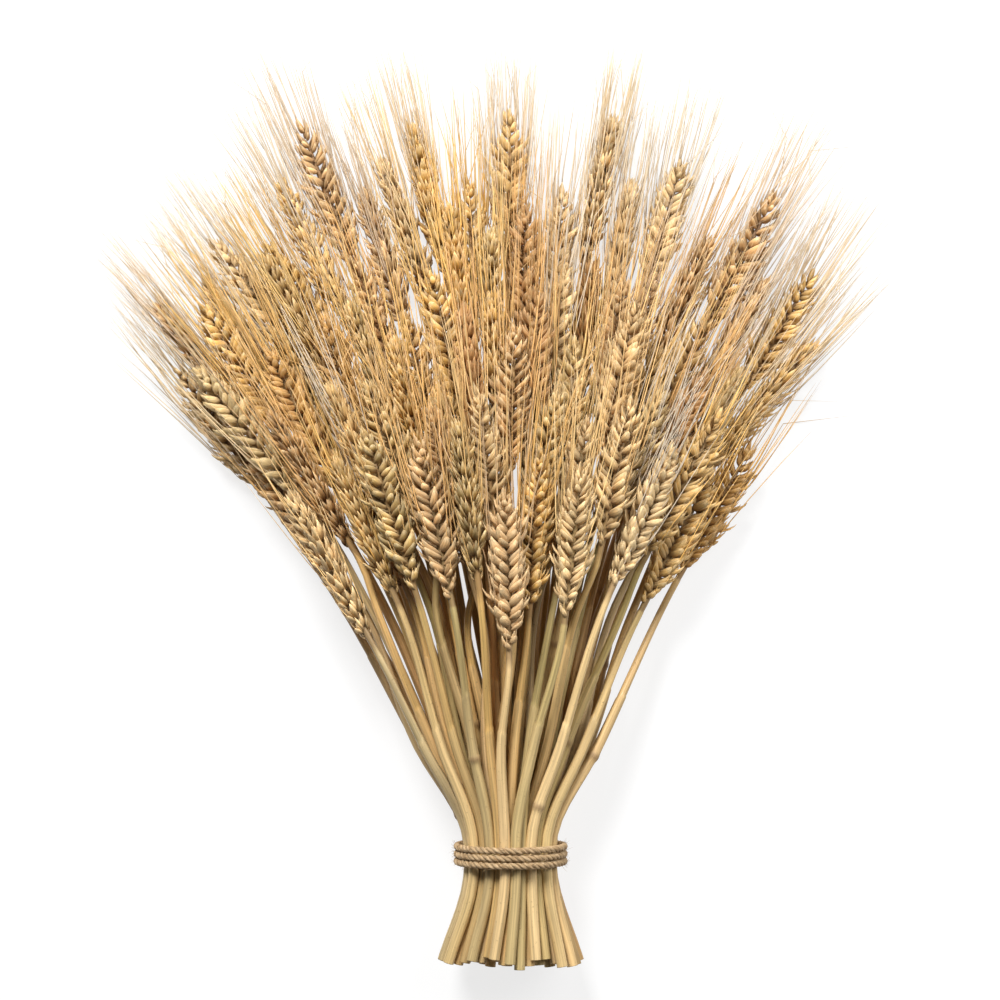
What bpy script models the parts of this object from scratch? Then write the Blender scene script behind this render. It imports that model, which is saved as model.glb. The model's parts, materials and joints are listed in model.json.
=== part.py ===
"""A bundle of dried bearded wheat, tied once round its waist and lying flat.

X runs across the bundle, Y from the cut ends to the heads, Z up. The tie is at Y = 0 and the table at Z = 0.
Each stalk is one closed mesh: a six-sided straw, an ear whose spikelets stand out left and right by turns,
and a few of its awns, each drawn out of a spikelet. Sizes are in millimetres until a mesh is made.
"""

import math

import bmesh
import bpy
import numpy as np

MM = 0.001
SEED = 12

# The bundle as a whole
STALKS = 73
PAIRS = 14
CUT_Y = -50.0
CUT_RAGGED = 6.0
TIE_TWIST = math.radians(14)
CENTRE_DRIFT = -0.045
TIE_HALF_WIDTH = 21.5
WAIST_BEND = 10.0
FAN_RISE = 4.0
CUT_RISE = 3.2
FAN_CURVE = 0.00095

# The straws
PITCH = 4.4
STRAW_R = 2.3
STRAW_TOP_R = 1.6
PINCH_Y = 8.0
STEM_Y = (-PINCH_Y, PINCH_Y, 48.0, 108.0, 178.0, 245.0)
LEAST_STEP = 20.0
PRESS = 0.4

# The ears
EAR_LONG = (62.0, 70.0)
EDGE_ROOM = 13.0
EAR_HALF_WIDE = 8.4
EAR_HALF_THICK = 6.0
EAR_RINGS = 12
TUCK = 0.5
SWEEP = 0.55
GROOVE = 0.2
TIP_POINT = 5.0
EDGE_ON_SHARE = 0.35
ROLL_SPREAD = math.radians(16)
TOP_TIPS = 334.0
TOP_FALL = 0.33
LOW_TIPS = 167.0
TIP_SCATTER = 12.0

# The awns
AWN_R = 0.55
BEAK = 5.0
AWN_PAST_TIP = (26.0, 44.0)
FURTHEST_AWN = 364.0
FLARE_OUT = 1.0
AWN_GAP = 0.3
AWN_TRIES = 160
MOST_AWNS = 9
AWN_ROOM = 24.0
HIGHEST_AWN = 84.0

# The pile of heads
PILE_THICK = 56.0
PILE_FROM, PILE_TO = 20.0, 170.0
GAP = 0.95
TIE_GAP = 0.2
PLANE_STEP = 6.0
ROUNDS = 1100
NEAR = 2.5
FLOOR_GAP = 0.5
STIFF = 0.12
PULL = 0.004
SINK = 0.05

# The tie
TWINE_TURNS = 3
TWINE = 3.3
TIE_BORE = 23.1
TIE_WALL = 2.3
TIE_RIDGE = 0.8
TIE_FLAT = 1.5
TIE_SIDES = 28

TONES = {
    "straw_gold": (0.60, 0.39, 0.16),
    "straw_tan": (0.53, 0.35, 0.17),
    "straw_cream": (0.66, 0.48, 0.25),
    "straw_khaki": (0.50, 0.38, 0.18),
}
TWINE_COLOUR = (0.36, 0.23, 0.11)


def smooth_step(value, start, end):
    """0 before start, 1 past end, and a smooth rise between them."""
    share = np.clip((np.asarray(value, float) - start) / (end - start), 0, 1)
    return share * share * (3 - 2 * share)


def half_width(y):
    """Half the width of the bundle at y: a waist at the tie, a fan above it and a short flare below it."""
    y = np.asarray(y, float)
    rise = np.where(y > 0, FAN_RISE, CUT_RISE)
    curve = np.where(y > 0, FAN_CURVE, 0)
    return TIE_HALF_WIDTH + rise * (np.hypot(1, y / WAIST_BEND) - 1) + curve * y * y


def tie_cells():
    """Centres of the stalks in the tie: the cells of a hexagonal packing that lie nearest its middle."""
    reach = range(-6, 7)
    cells = [(i + 0.5 * (j % 2), j * math.sqrt(0.75)) for i in reach for j in reach]
    cells.sort(key=lambda cell: (round(cell[0] ** 2 + cell[1] ** 2, 6), cell))
    return PITCH * np.array(cells[:STALKS])


def flow(cells, y):
    """Where each stalk of the tie crosses the plane y: the fan's width times its place, in a flat-bottomed pile."""
    radius = TIE_HALF_WIDTH - STRAW_R
    turn = TIE_TWIST * smooth_step(y, 0, 90) - 0.6 * TIE_TWIST * smooth_step(-y, 0, 60)
    side = (cells[:, 0] * np.cos(turn) + cells[:, 1] * np.sin(turn)) / radius
    up = (cells[:, 1] * np.cos(turn) - cells[:, 0] * np.sin(turn)) / radius
    chord = np.sqrt(np.clip(1 - side**2, 0.03, 1))
    height = 0.5 + 0.5 * np.clip(up / chord, -1, 1)
    edge = STRAW_R + (EDGE_ROOM - STRAW_R) * smooth_step(y, 60, 150)
    x = CENTRE_DRIFT * max(y, 0) + side * (half_width(y) - edge)
    pile = smooth_step(abs(y), PILE_FROM, PILE_TO)
    lowest = TIE_BORE + TIE_WALL - TIE_FLAT - radius
    floor = lowest + (EAR_HALF_THICK - lowest) * pile
    thick = 2 * radius + (PILE_THICK - 2 * radius) * pile
    z = floor + (1 - pile) * radius * (1 - chord) + height * thick * chord
    return np.stack([x, z], axis=1), side, height


class Stalk:
    """One stalk's sizes and the points (x, z at each y) that its straw and its ear run through."""

    def __init__(self, cell, rng):
        self.cell = cell
        self.partner = None
        _, side, height = flow(cell[None], 250.0)
        self.side = side[0]
        top = TOP_TIPS * (1 - TOP_FALL * side[0] ** 2)
        tip = top - (top - LOW_TIPS) * height[0] + rng.uniform(-TIP_SCATTER, TIP_SCATTER)
        self.long = rng.uniform(*EAR_LONG)
        lean = side[0] * (half_width(tip - 20) - half_width(tip - 40)) / 20
        base = tip - self.long / math.hypot(1, lean)
        self.stretch = math.hypot(1, lean)
        edge_on = rng.random() < EDGE_ON_SHARE
        self.roll = rng.normal(0, ROLL_SPREAD) + (math.pi / 2 if edge_on else 0)
        cut = CUT_Y + rng.uniform(0, CUT_RAGGED)
        self.ys = np.array([cut] + [y for y in STEM_Y if y < base - LEAST_STEP] + [base, tip])
        self.at = np.array([flow(cell[None], y)[0][0] for y in self.ys])
        self.free = (self.ys > PINCH_Y).astype(float)[:, None]
        wander = rng.normal(0, 1, self.at.shape) * (2.2, 1.0)
        self.at += wander * self.free * smooth_step(self.ys, 20, 120)[:, None]

    def press_on(self, other):
        """Presses two neighbours together in the tie, so that they are one body there."""
        self.partner, other.partner = other, self
        for k in (1, 2):
            way = other.at[k] - self.at[k]
            way = way / np.hypot(*way)
            self.at[k] += PRESS * way
            other.at[k] -= PRESS * way

    def half_sizes(self, y):
        """Half the stalk's size along X and along Z where it crosses each plane y. Past its ends both are 0."""
        base, tip = self.ys[-2:]
        along = np.clip((y - base) / (tip - base), 0, 1)
        straw = STRAW_R + (STRAW_TOP_R - STRAW_R) * smooth_step(y, 20, base)
        shape = ear_outline(along)
        across = np.hypot(EAR_HALF_WIDE * math.cos(self.roll), EAR_HALF_THICK * math.sin(self.roll))
        upright = np.hypot(EAR_HALF_THICK * math.cos(self.roll), EAR_HALF_WIDE * math.sin(self.roll))
        inside = (y >= self.ys[0]) & (y <= tip + TIP_POINT)
        wide = np.where(y > base, np.maximum(across * shape, straw), straw) * self.stretch
        high = np.where(y > base, np.maximum(upright * shape, straw), straw)
        return wide * inside, high * inside


def ear_outline(along):
    """The ear's half width at each share of its length, as a share of its widest."""
    swell = np.minimum(1, 0.5 + 2.2 * along)
    taper = 1 - 0.5 * np.clip((along - 0.5) / 0.5, 0, 1) ** 1.6
    return swell * taper


def pair_up(stalks):
    """Joins the neighbours in the tie whose heads point the same way, until a node for each is left."""
    close = []
    for n, one in enumerate(stalks):
        for m in range(n + 1, len(stalks)):
            if np.hypot(*(one.cell - stalks[m].cell)) < 1.1 * PITCH:
                close.append((abs(one.side - stalks[m].side), n, m))
    pairs = []
    for _, n, m in sorted(close):
        if len(pairs) < PAIRS and not stalks[n].partner and not stalks[m].partner:
            stalks[n].press_on(stalks[m])
            pairs.append((n, m))
    return pairs


def near_pairs(at, sizes, gap, there):
    """Numbers of the stalks that come near each other in any plane, and who is pushed which way by each pair."""
    first, second = np.triu_indices(len(at), 1)
    apart = np.abs(at[first] - at[second]) / (sizes[first] + sizes[second] + gap)
    close = (apart.max(axis=-1) < NEAR) & there[first] & there[second]
    keep = close.any(axis=1)
    first, second = first[keep], second[keep]
    pushed = np.zeros((len(at), len(first)))
    pushed[first, np.arange(len(first))] = 1
    pushed[second, np.arange(len(first))] = -1
    return first, second, pushed


def settle(stalks):
    """Moves the stalks' points sideways and up until no straw or ear crosses another or the table."""
    planes = np.arange(CUT_Y, FURTHEST_AWN, PLANE_STEP)
    most = max(len(s.ys) for s in stalks)
    share = np.zeros((len(stalks), len(planes), most))
    nodes = np.zeros((len(stalks), most, 2))
    free = np.zeros((len(stalks), most, 1))
    sizes = np.zeros((len(stalks), len(planes), 2))
    middle = np.full((len(stalks), most), 0.5)
    for n, stalk in enumerate(stalks):
        count = len(stalk.ys)
        for k in range(count):
            share[n, :, k] = np.interp(planes, stalk.ys, np.eye(count)[k])
        nodes[n, :count] = stalk.at
        free[n, :count] = stalk.free
        sizes[n] = np.stack(stalk.half_sizes(planes), axis=1)
        middle[n, 1 : count - 1] = (stalk.ys[1:-1] - stalk.ys[:-2]) / (stalk.ys[2:] - stalk.ys[:-2])
        free[n, count - 1, 0] = 1
    inner = np.zeros((len(stalks), most, 1))
    for n, stalk in enumerate(stalks):
        inner[n, 1 : len(stalk.ys) - 1] = 1
    goal = nodes.copy()
    weight = share.sum(axis=1)[..., None] + 1e-9
    there = sizes[..., 0] > 0
    turn = middle[..., None]
    gap = (TIE_GAP + (GAP - TIE_GAP) * smooth_step(planes, PINCH_Y, 60))[:, None]
    for step in range(ROUNDS):
        at = np.einsum("npk,nkc->npc", share, nodes)
        if step % 60 == 0:
            first, second, pushed = near_pairs(at, sizes, gap, there)
            both = (there[first] & there[second])[..., None]
            reach = sizes[first] + sizes[second] + gap
        apart = at[first] - at[second]
        distance = np.sqrt(((apart / reach) ** 2).sum(axis=-1, keepdims=True)) + 1e-6
        press = np.where(both & (distance < 1), 1 / distance - 1, 0)
        shift = np.clip(apart * press, -3, 3)
        push = 0.5 * np.tensordot(pushed, shift, axes=1)
        low = sizes[..., 1] + FLOOR_GAP - at[..., 1]
        push[..., 1] += np.where(there & (low > 0), low, 0)
        moved = np.einsum("npk,npc->nkc", share, np.clip(push, -2, 2)) / weight * 1.8
        nodes = nodes + moved * free
        strain = nodes - goal
        before = np.roll(strain, 1, axis=1)
        after = np.roll(strain, -1, axis=1)
        even = before + (after - before) * turn - strain
        calm = 1 - step / ROUNDS
        nodes = nodes + (STIFF * even * inner - PULL * strain) * calm * free
        nodes[..., 1] -= SINK * free[..., 0] * calm
    for n, stalk in enumerate(stalks):
        stalk.at = nodes[n, : len(stalk.ys)]
    above_tie = planes > 2 * PINCH_Y
    return float(np.abs(shift * both)[:, above_tie].max())


def unit(vector):
    return vector / np.linalg.norm(vector)


def zip_rings(low, high):
    """Triangles between two closed rings of point numbers, which may differ in count."""
    faces = []
    i = j = 0
    while i < len(low) or j < len(high):
        a, b = low[i % len(low)], high[j % len(high)]
        if (i + 1) * len(high) <= (j + 1) * len(low):
            i += 1
            faces.append((a, b, low[i % len(low)]))
        else:
            j += 1
            faces.append((a, b, high[j % len(high)]))
    return faces


class StalkMesh:
    """The points and triangles of one stalk, from its cut end to the tips of its awns."""

    def __init__(self, stalk):
        self.stalk = stalk
        self.points = []
        self.faces = []
        base = np.array([stalk.at[-2][0], stalk.ys[-2], stalk.at[-2][1]])
        tip = np.array([stalk.at[-1][0], stalk.ys[-1], stalk.at[-1][1]])
        self.base = base
        self.tip = tip
        self.long = np.linalg.norm(tip - base)
        self.axis = unit(tip - base)
        level = unit(np.cross(self.axis, (0, 0, 1)))
        upward = np.cross(level, self.axis)
        self.side = level * math.cos(stalk.roll) + upward * math.sin(stalk.roll)
        self.face = upward * math.cos(stalk.roll) - level * math.sin(stalk.roll)
        self.shelves = {}
        self.straw()
        self.ear()

    def add(self, points):
        first = len(self.points)
        self.points.extend(np.asarray(p, float) for p in points)
        return list(range(first, len(self.points)))

    def straw(self):
        """A six-sided tube whose rings lie in planes of Y, so that the straws pack in the tie like cells."""
        stalk = self.stalk
        ring = None
        corners = np.radians(30 + 60 * np.arange(6))
        for y, (x, z) in zip(stalk.ys[:-1], stalk.at[:-1]):
            if y == stalk.ys[-2]:
                y = y - 3.0
                x, z = np.array((x, z)) - 3.0 * (stalk.at[-1] - stalk.at[-2]) / (stalk.ys[-1] - stalk.ys[-2])
            r = STRAW_R + (STRAW_TOP_R - STRAW_R) * smooth_step(y, 20, stalk.ys[-2])
            new = self.add([(x + r * math.cos(a), y, z + r * math.sin(a)) for a in corners])
            if ring is None:
                self.faces += [(new[0], new[k], new[k + 1]) for k in range(1, 5)]
            else:
                self.faces += zip_rings(ring, new)
            ring = new
        self.top_ring = ring

    def ear(self):
        """Rings of four points: right, front, left and back. Left and right stand out by turns, swept upwards."""
        ring = self.top_ring
        spacing = self.long / EAR_RINGS
        for level in range(EAR_RINGS):
            along = level / (EAR_RINGS - 1)
            shape = float(ear_outline(along))
            sign = 1 if level % 2 else -1
            middle = self.base + self.axis * along * (self.long - spacing)
            if level == 0:
                wide, thick, out, tuck, shift, sweep = 1.9, 1.9, 1, 1, 0, 0
            else:
                wide, thick = EAR_HALF_WIDE * shape, EAR_HALF_THICK * shape
                out, tuck, shift, sweep = 1, TUCK, -GROOVE * sign, SWEEP * spacing
            right, left = (out, tuck) if sign > 0 else (tuck, out)
            lift_r, lift_l = (sweep, 0) if sign > 0 else (0, sweep)
            new = self.add(
                [
                    middle + self.side * wide * right + self.axis * lift_r,
                    middle + self.face * thick + self.side * wide * shift,
                    middle - self.side * wide * left + self.axis * lift_l,
                    middle - self.face * thick + self.side * wide * shift,
                ]
            )
            if level == 0:
                nearest = min(range(4), key=lambda k: np.linalg.norm(self.points[new[k]] - self.points[ring[0]]))
                self.faces += zip_rings(ring, new[nearest:] + new[:nearest])
            else:
                self.faces += zip_rings(ring, new)
            if level:
                self.shelves[level - 1] = (ring, new)
            ring = new
        apex = self.add([self.tip + self.axis * TIP_POINT])[0]
        self.faces += [(ring[k], apex, ring[(k + 1) % 4]) for k in range(4)]

    def shelf(self, level):
        """The triangle on top of a spikelet that its awn grows from: the front one and the back one by turns."""
        low, high = self.shelves[level]
        to_right = level % 2 == 1
        out = 0 if to_right else 2
        front = (level // 2) % 2 == 0
        if to_right:
            found = {low[0], low[1], high[0]} if front else {low[0], high[0], high[3]}
        else:
            found = {low[2], high[2], high[1]} if front else {low[2], low[3], high[2]}
        face = next(f for f in self.faces if set(f) == found)
        return face, self.points[low[out]], 1 if to_right else -1, 1 if front else -1

    def awn_path(self, level, rng, worn):
        """The beak and the tip of an awn drawn at random from those the spikelet could bear. A worn one is short."""
        face, flare, right, front = self.shelf(level)
        along = level / (EAR_RINGS - 1)
        above = EAR_HALF_WIDE * max(float(ear_outline(a)) for a in np.linspace(along, 1, 9))
        beside = float(np.dot(flare - self.base, self.side)) * right
        outward = max(above + FLARE_OUT - beside, 0.6)
        beak = flare + self.axis * (BEAK + 0.6 * outward) + self.side * right * outward
        beak = beak + self.face * front * 1.9
        spread = math.radians(2.5 + 8.0 * (1 - along) + rng.uniform(0, 4.5))
        lift = math.radians(rng.normal(0, 4.5) + front * 1.5)
        way = unit(self.axis + self.side * right * math.tan(spread) + self.face * math.tan(lift))
        to_tip = np.dot(self.tip - beak, self.axis)
        past = rng.uniform(*AWN_PAST_TIP)
        reach = (to_tip * (1 - 0.4 * worn) + past * (1 - 0.7 * worn)) / np.dot(way, self.axis)
        reach = min(reach, (FURTHEST_AWN - beak[1]) / way[1])
        return face, beak, beak + way * reach

    def grow(self, face, beak, tip):
        """Draws the triangle out into a beak and a long pointed awn."""
        way = unit(tip - beak)
        ring = []
        middle = sum(self.points[k] for k in face) / 3
        for k in face:
            aside = self.points[k] - middle
            aside = unit(aside - way * np.dot(aside, way))
            ring += self.add([beak + aside * AWN_R])
        apex = self.add([tip])[0]
        self.faces.remove(face)
        for k in range(3):
            a, b = face[k], face[(k + 1) % 3]
            c, d = ring[k], ring[(k + 1) % 3]
            self.faces += [(a, b, d), (a, d, c), (c, d, apex)]

    def rods(self):
        """The straw and the ear as rods with round ends, (start, end, radius), that awns must keep clear of."""
        places = [np.array([x, y, z]) for y, (x, z) in zip(self.stalk.ys, self.stalk.at)]
        found = [(a, b, STRAW_R) for a, b in zip(places[:-2], places[1:-1])]
        cuts = np.linspace(0, 1, 5)
        for low, high in zip(cuts[:-1], cuts[1:]):
            shape = float(ear_outline((low + high) / 2))
            thick = EAR_HALF_THICK * shape * 1.02
            aside = self.side * (EAR_HALF_WIDE * shape - thick + 0.8)
            start = self.base + (self.tip - self.base) * low
            end = self.base + (self.tip - self.base) * high
            found += [(start + aside, end + aside, thick), (start - aside, end - aside, thick)]
        found.append((self.tip, self.tip + self.axis * TIP_POINT, 1.5))
        return found


def rod_distance(start, end, starts, ends):
    """The least distance between one segment and each of many, from points along the one."""
    steps = np.linspace(0, 1, 25)[:, None]
    points = start + (end - start) * steps
    way = ends - starts
    length2 = np.maximum((way**2).sum(axis=1), 1e-9)
    offset = points[:, None] - starts[None]
    share = np.clip((offset * way).sum(axis=-1) / length2, 0, 1)
    return np.linalg.norm(offset - share[..., None] * way, axis=-1).min(axis=0)


def grow_awns(meshes, rng):
    """Gives each ear its awns, each the first of its random paths that keeps clear of everything else."""
    owners = [n for n, mesh in enumerate(meshes) for _ in mesh.rods()]
    rods = [rod for mesh in meshes for rod in mesh.rods()]
    starts = np.array([rod[0] for rod in rods])
    ends = np.array([rod[1] for rod in rods])
    radii = np.array([rod[2] for rod in rods])
    bodies = len(rods)
    owners = np.array(owners)
    grown = np.zeros(len(meshes), int)
    levels = [list(rng.permutation(np.arange(1, EAR_RINGS - 1))) for _ in meshes]
    for turn in range(EAR_RINGS - 2):
        for n, mesh in enumerate(meshes):
            if grown[n] >= MOST_AWNS:
                continue
            ear_end = mesh.tip + mesh.axis * AWN_PAST_TIP[1]
            low = np.minimum(mesh.base, ear_end) - AWN_ROOM
            high = np.maximum(mesh.base, ear_end) + AWN_ROOM
            near = (np.minimum(starts, ends) < high).all(axis=1) & (np.maximum(starts, ends) > low).all(axis=1)
            own = owners == n
            own[bodies:] = False
            near = np.flatnonzero(near & ~own)
            for attempt in range(AWN_TRIES):
                face, beak, tip = mesh.awn_path(int(levels[n][turn]), rng, attempt / AWN_TRIES)
                if min(beak[2], tip[2]) < AWN_R + AWN_GAP or tip[2] > HIGHEST_AWN:
                    continue
                space = rod_distance(beak, tip, starts[near], ends[near]) - radii[near]
                if (space > AWN_R + AWN_GAP).all():
                    mesh.grow(face, beak, tip)
                    starts = np.vstack([starts, beak])
                    ends = np.vstack([ends, tip])
                    radii = np.append(radii, AWN_R)
                    owners = np.append(owners, n)
                    grown[n] += 1
                    break
    return grown


def principled(name, colour, roughness):
    material = bpy.data.materials.new(name)
    material.use_nodes = True
    shader = material.node_tree.nodes["Principled BSDF"]
    shader.inputs["Base Color"].default_value = (*colour, 1)
    shader.inputs["Roughness"].default_value = roughness
    shader.inputs["Metallic"].default_value = 0
    return material


def object_from(name, points, faces, material):
    """An object with outward faces, its points given in millimetres."""
    mesh = bpy.data.meshes.new(name)
    mesh.from_pydata([tuple(MM * c for c in p) for p in points], [], faces)
    tidy = bmesh.new()
    tidy.from_mesh(mesh)
    bmesh.ops.recalc_face_normals(tidy, faces=tidy.faces)
    tidy.to_mesh(mesh)
    tidy.free()
    mesh.materials.append(material)
    thing = bpy.data.objects.new(name, mesh)
    bpy.context.scene.collection.objects.link(thing)
    return thing


def fused(name, first, second):
    """One object from two that press into each other."""
    union = first.modifiers.new("union", "BOOLEAN")
    union.operation = "UNION"
    union.solver = "MANIFOLD"
    union.object = second
    seen = first.evaluated_get(bpy.context.evaluated_depsgraph_get())
    mesh = bpy.data.meshes.new_from_object(seen)
    first.modifiers.remove(union)
    first.data = mesh
    first.name = mesh.name = name
    bpy.data.objects.remove(second)
    return first


def make_tie(material):
    """Turns of twine wound tight, as one ridged ring with a flat underside."""
    half = TWINE_TURNS * TWINE / 2
    profile = [(TIE_BORE, -half + 0.4), (TIE_BORE + TIE_WALL - 0.4, -half)]
    for turn in range(TWINE_TURNS):
        middle = -half + TWINE * (turn + 0.5)
        outer = TIE_BORE + TIE_WALL + TIE_RIDGE
        profile += [(outer, middle - 0.25 * TWINE), (outer, middle + 0.25 * TWINE)]
        if turn < TWINE_TURNS - 1:
            profile.append((TIE_BORE + TIE_WALL, middle + 0.5 * TWINE))
    profile += [(TIE_BORE + TIE_WALL - 0.4, half), (TIE_BORE, half - 0.4)]
    middle_z = TIE_BORE + TIE_WALL - TIE_FLAT
    rings = []
    points = []
    for step in range(TIE_SIDES):
        angle = 2 * math.pi * (step + 0.5) / TIE_SIDES
        rings.append(range(len(points), len(points) + len(profile)))
        points += [(r * math.sin(angle), y, middle_z - r * math.cos(angle)) for r, y in profile]
    faces = []
    for ring, after in zip(rings, rings[1:] + rings[:1]):
        for k in range(len(profile)):
            m = (k + 1) % len(profile)
            faces.append((ring[k], ring[m], after[m], after[k]))
    tie = object_from("tie", points, faces, material)
    cut = bmesh.new()
    cut.from_mesh(tie.data)
    everything = cut.verts[:] + cut.edges[:] + cut.faces[:]
    found = bmesh.ops.bisect_plane(
        cut, geom=everything, dist=1e-7, plane_co=(0, 0, 0), plane_no=(0, 0, -1), clear_outer=True
    )
    rim = [e for e in found["geom_cut"] if isinstance(e, bmesh.types.BMEdge)]
    bmesh.ops.edgeloop_fill(cut, edges=rim)
    bmesh.ops.recalc_face_normals(cut, faces=cut.faces)
    cut.to_mesh(tie.data)
    cut.free()
    return tie


def main():
    for thing in list(bpy.data.objects):
        bpy.data.objects.remove(thing)
    rng = np.random.default_rng(SEED)
    stalks = [Stalk(cell, rng) for cell in tie_cells()]
    pairs = pair_up(stalks)
    print("left to settle", round(settle(stalks), 3))
    meshes = [StalkMesh(stalk) for stalk in stalks]
    grown = grow_awns(meshes, rng)
    print("awns", grown.sum(), "fewest", grown.min())
    tones = [principled(name, colour, 0.7) for name, colour in TONES.items()]
    things = []
    for n, mesh in enumerate(meshes):
        tone = tones[int(rng.integers(len(tones)))]
        things.append(object_from(f"stalk_{n + 1:02d}", mesh.points, mesh.faces, tone))
    for n, m in pairs:
        fused(f"stalks_{n + 1:02d}_{m + 1:02d}", things[n], things[m])
    make_tie(principled("twine", TWINE_COLOUR, 0.85))


main()
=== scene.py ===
# %% [markdown]
# # A bundle of dried bearded wheat
#
# Seventy-three stalks of bearded wheat lie on a pale table, tied once round the waist with twine. Every stalk is
# a hollow straw, an ear of 161 overlapping husks, and a brush of long awns. The solid model that this file loads
# holds each one in plain form, a six-sided straw and a coarse ear. Here they are made again with the detail that
# the eye looks for. Nothing is placed by hand. A few rules and one seed lay the stalks out.

# %% Load the solid model
import json
import math

import bpy
import mathutils
import numpy as np
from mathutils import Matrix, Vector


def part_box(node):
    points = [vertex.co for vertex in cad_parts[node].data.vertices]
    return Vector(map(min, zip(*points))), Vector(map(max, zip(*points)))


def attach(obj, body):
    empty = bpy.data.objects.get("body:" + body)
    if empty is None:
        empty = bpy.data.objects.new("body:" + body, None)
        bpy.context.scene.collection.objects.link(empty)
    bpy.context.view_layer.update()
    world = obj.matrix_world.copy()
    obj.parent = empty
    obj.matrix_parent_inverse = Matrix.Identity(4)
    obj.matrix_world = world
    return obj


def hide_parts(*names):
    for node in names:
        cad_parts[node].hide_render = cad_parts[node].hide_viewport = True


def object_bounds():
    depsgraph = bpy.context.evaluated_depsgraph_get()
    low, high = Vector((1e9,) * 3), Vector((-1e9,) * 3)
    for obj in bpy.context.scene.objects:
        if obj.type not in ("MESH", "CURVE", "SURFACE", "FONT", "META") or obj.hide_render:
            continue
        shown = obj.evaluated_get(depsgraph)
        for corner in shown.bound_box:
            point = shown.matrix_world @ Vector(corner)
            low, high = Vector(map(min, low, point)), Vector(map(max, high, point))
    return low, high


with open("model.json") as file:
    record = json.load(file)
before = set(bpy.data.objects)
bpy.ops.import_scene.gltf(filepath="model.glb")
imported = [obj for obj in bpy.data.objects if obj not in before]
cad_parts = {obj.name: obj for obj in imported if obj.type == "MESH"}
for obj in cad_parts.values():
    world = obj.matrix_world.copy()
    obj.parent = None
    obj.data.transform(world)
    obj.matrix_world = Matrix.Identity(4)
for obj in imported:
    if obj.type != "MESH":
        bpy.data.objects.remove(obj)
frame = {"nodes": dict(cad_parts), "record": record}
cad_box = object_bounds()
MM = 0.001
print("solids:", len(frame["nodes"]), "box in mm:", [[round(c / MM, 1) for c in corner] for corner in cad_box])

# %% [markdown]
# ## How a bundle fans
#
# In the tie the stalks are packed as tight as cells in a honeycomb, and above it they spread. One could place
# each by eye, but seventy of them soon look either even or muddled. It is safer to say where the whole bundle's
# edge runs and give every stalk its share of that width. The edge is a waist at the tie, then nearly straight
# sides, then a slight outward curve.

# %% The bundle's outline and the cells of the tie
SEED = 12
STALKS = 73
PITCH = 4.4
CELLS_REACH = 6
TIE_HALF_WIDTH = 21.5
WAIST_BEND = 10.0
FAN_RISE, CUT_RISE = 4.0, 3.2
FAN_CURVE = 0.00095


def smooth_step(value, start, end):
    """0 before start, 1 past end, and 3s^2 - 2s^3 of the share s between them."""
    share = np.clip((np.asarray(value, float) - start) / (end - start), 0, 1)
    return share * share * (3 - 2 * share)


def ease(value, start, end, low, high):
    """low before start, high past end, and a smooth step between them."""
    return low + (high - low) * smooth_step(value, start, end)


def turned(one, other, angle):
    """Two ways square to each other, both turned by an angle, the first one towards the second."""
    return one * np.cos(angle) + other * np.sin(angle), other * np.cos(angle) - one * np.sin(angle)


def half_width(y):
    """Half the bundle's width at y: the waist, plus a hyperbola's rise, plus a parabola above the tie."""
    y = np.asarray(y, float)
    rise = np.where(y > 0, FAN_RISE, CUT_RISE)
    curve = np.where(y > 0, FAN_CURVE, 0)
    return TIE_HALF_WIDTH + rise * (np.hypot(1, y / WAIST_BEND) - 1) + curve * y * y


def tie_cells():
    """Points of a hexagonal grid, sorted by their distance from its middle, as many as there are stalks."""
    reach = range(-CELLS_REACH, CELLS_REACH + 1)
    cells = [(i + 0.5 * (j % 2), j * math.sqrt(0.75)) for i in reach for j in reach]
    cells.sort(key=lambda cell: (round(cell[0] ** 2 + cell[1] ** 2, 6), cell))
    return PITCH * np.array(cells[:STALKS])


print("half widths in mm at 0, 100, 200, 300:", half_width([0, 100, 200, 300]).round(1))

# %% [markdown]
# Lying down, the fan is also a pile. A stalk that sits high in the tie stays high in the pile, and the twine's
# grip twists the whole bundle a little, which is why the stalks of a real bundle cross each other above the tie.

# %% Where a stalk crosses a plane
TIE_TWIST, TWIST_LONG = math.radians(14), 90
TWIST_BELOW, TWIST_LONG_BELOW = 0.6, 60
CENTRE_DRIFT = -0.045
STRAW_R, STRAW_TOP_R = 2.3, 1.6
EDGE_ROOM, EDGE_FROM, EDGE_TO = 13.0, 60, 150
EAR_HALF_WIDE, EAR_HALF_THICK = 8.4, 6.0
PILE_THICK, PILE_FROM, PILE_TO = 56.0, 20.0, 170.0
TIE_BORE, TIE_WALL, TIE_FLAT = 23.1, 2.3, 1.5
LEAST_CHORD = 0.03


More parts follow.
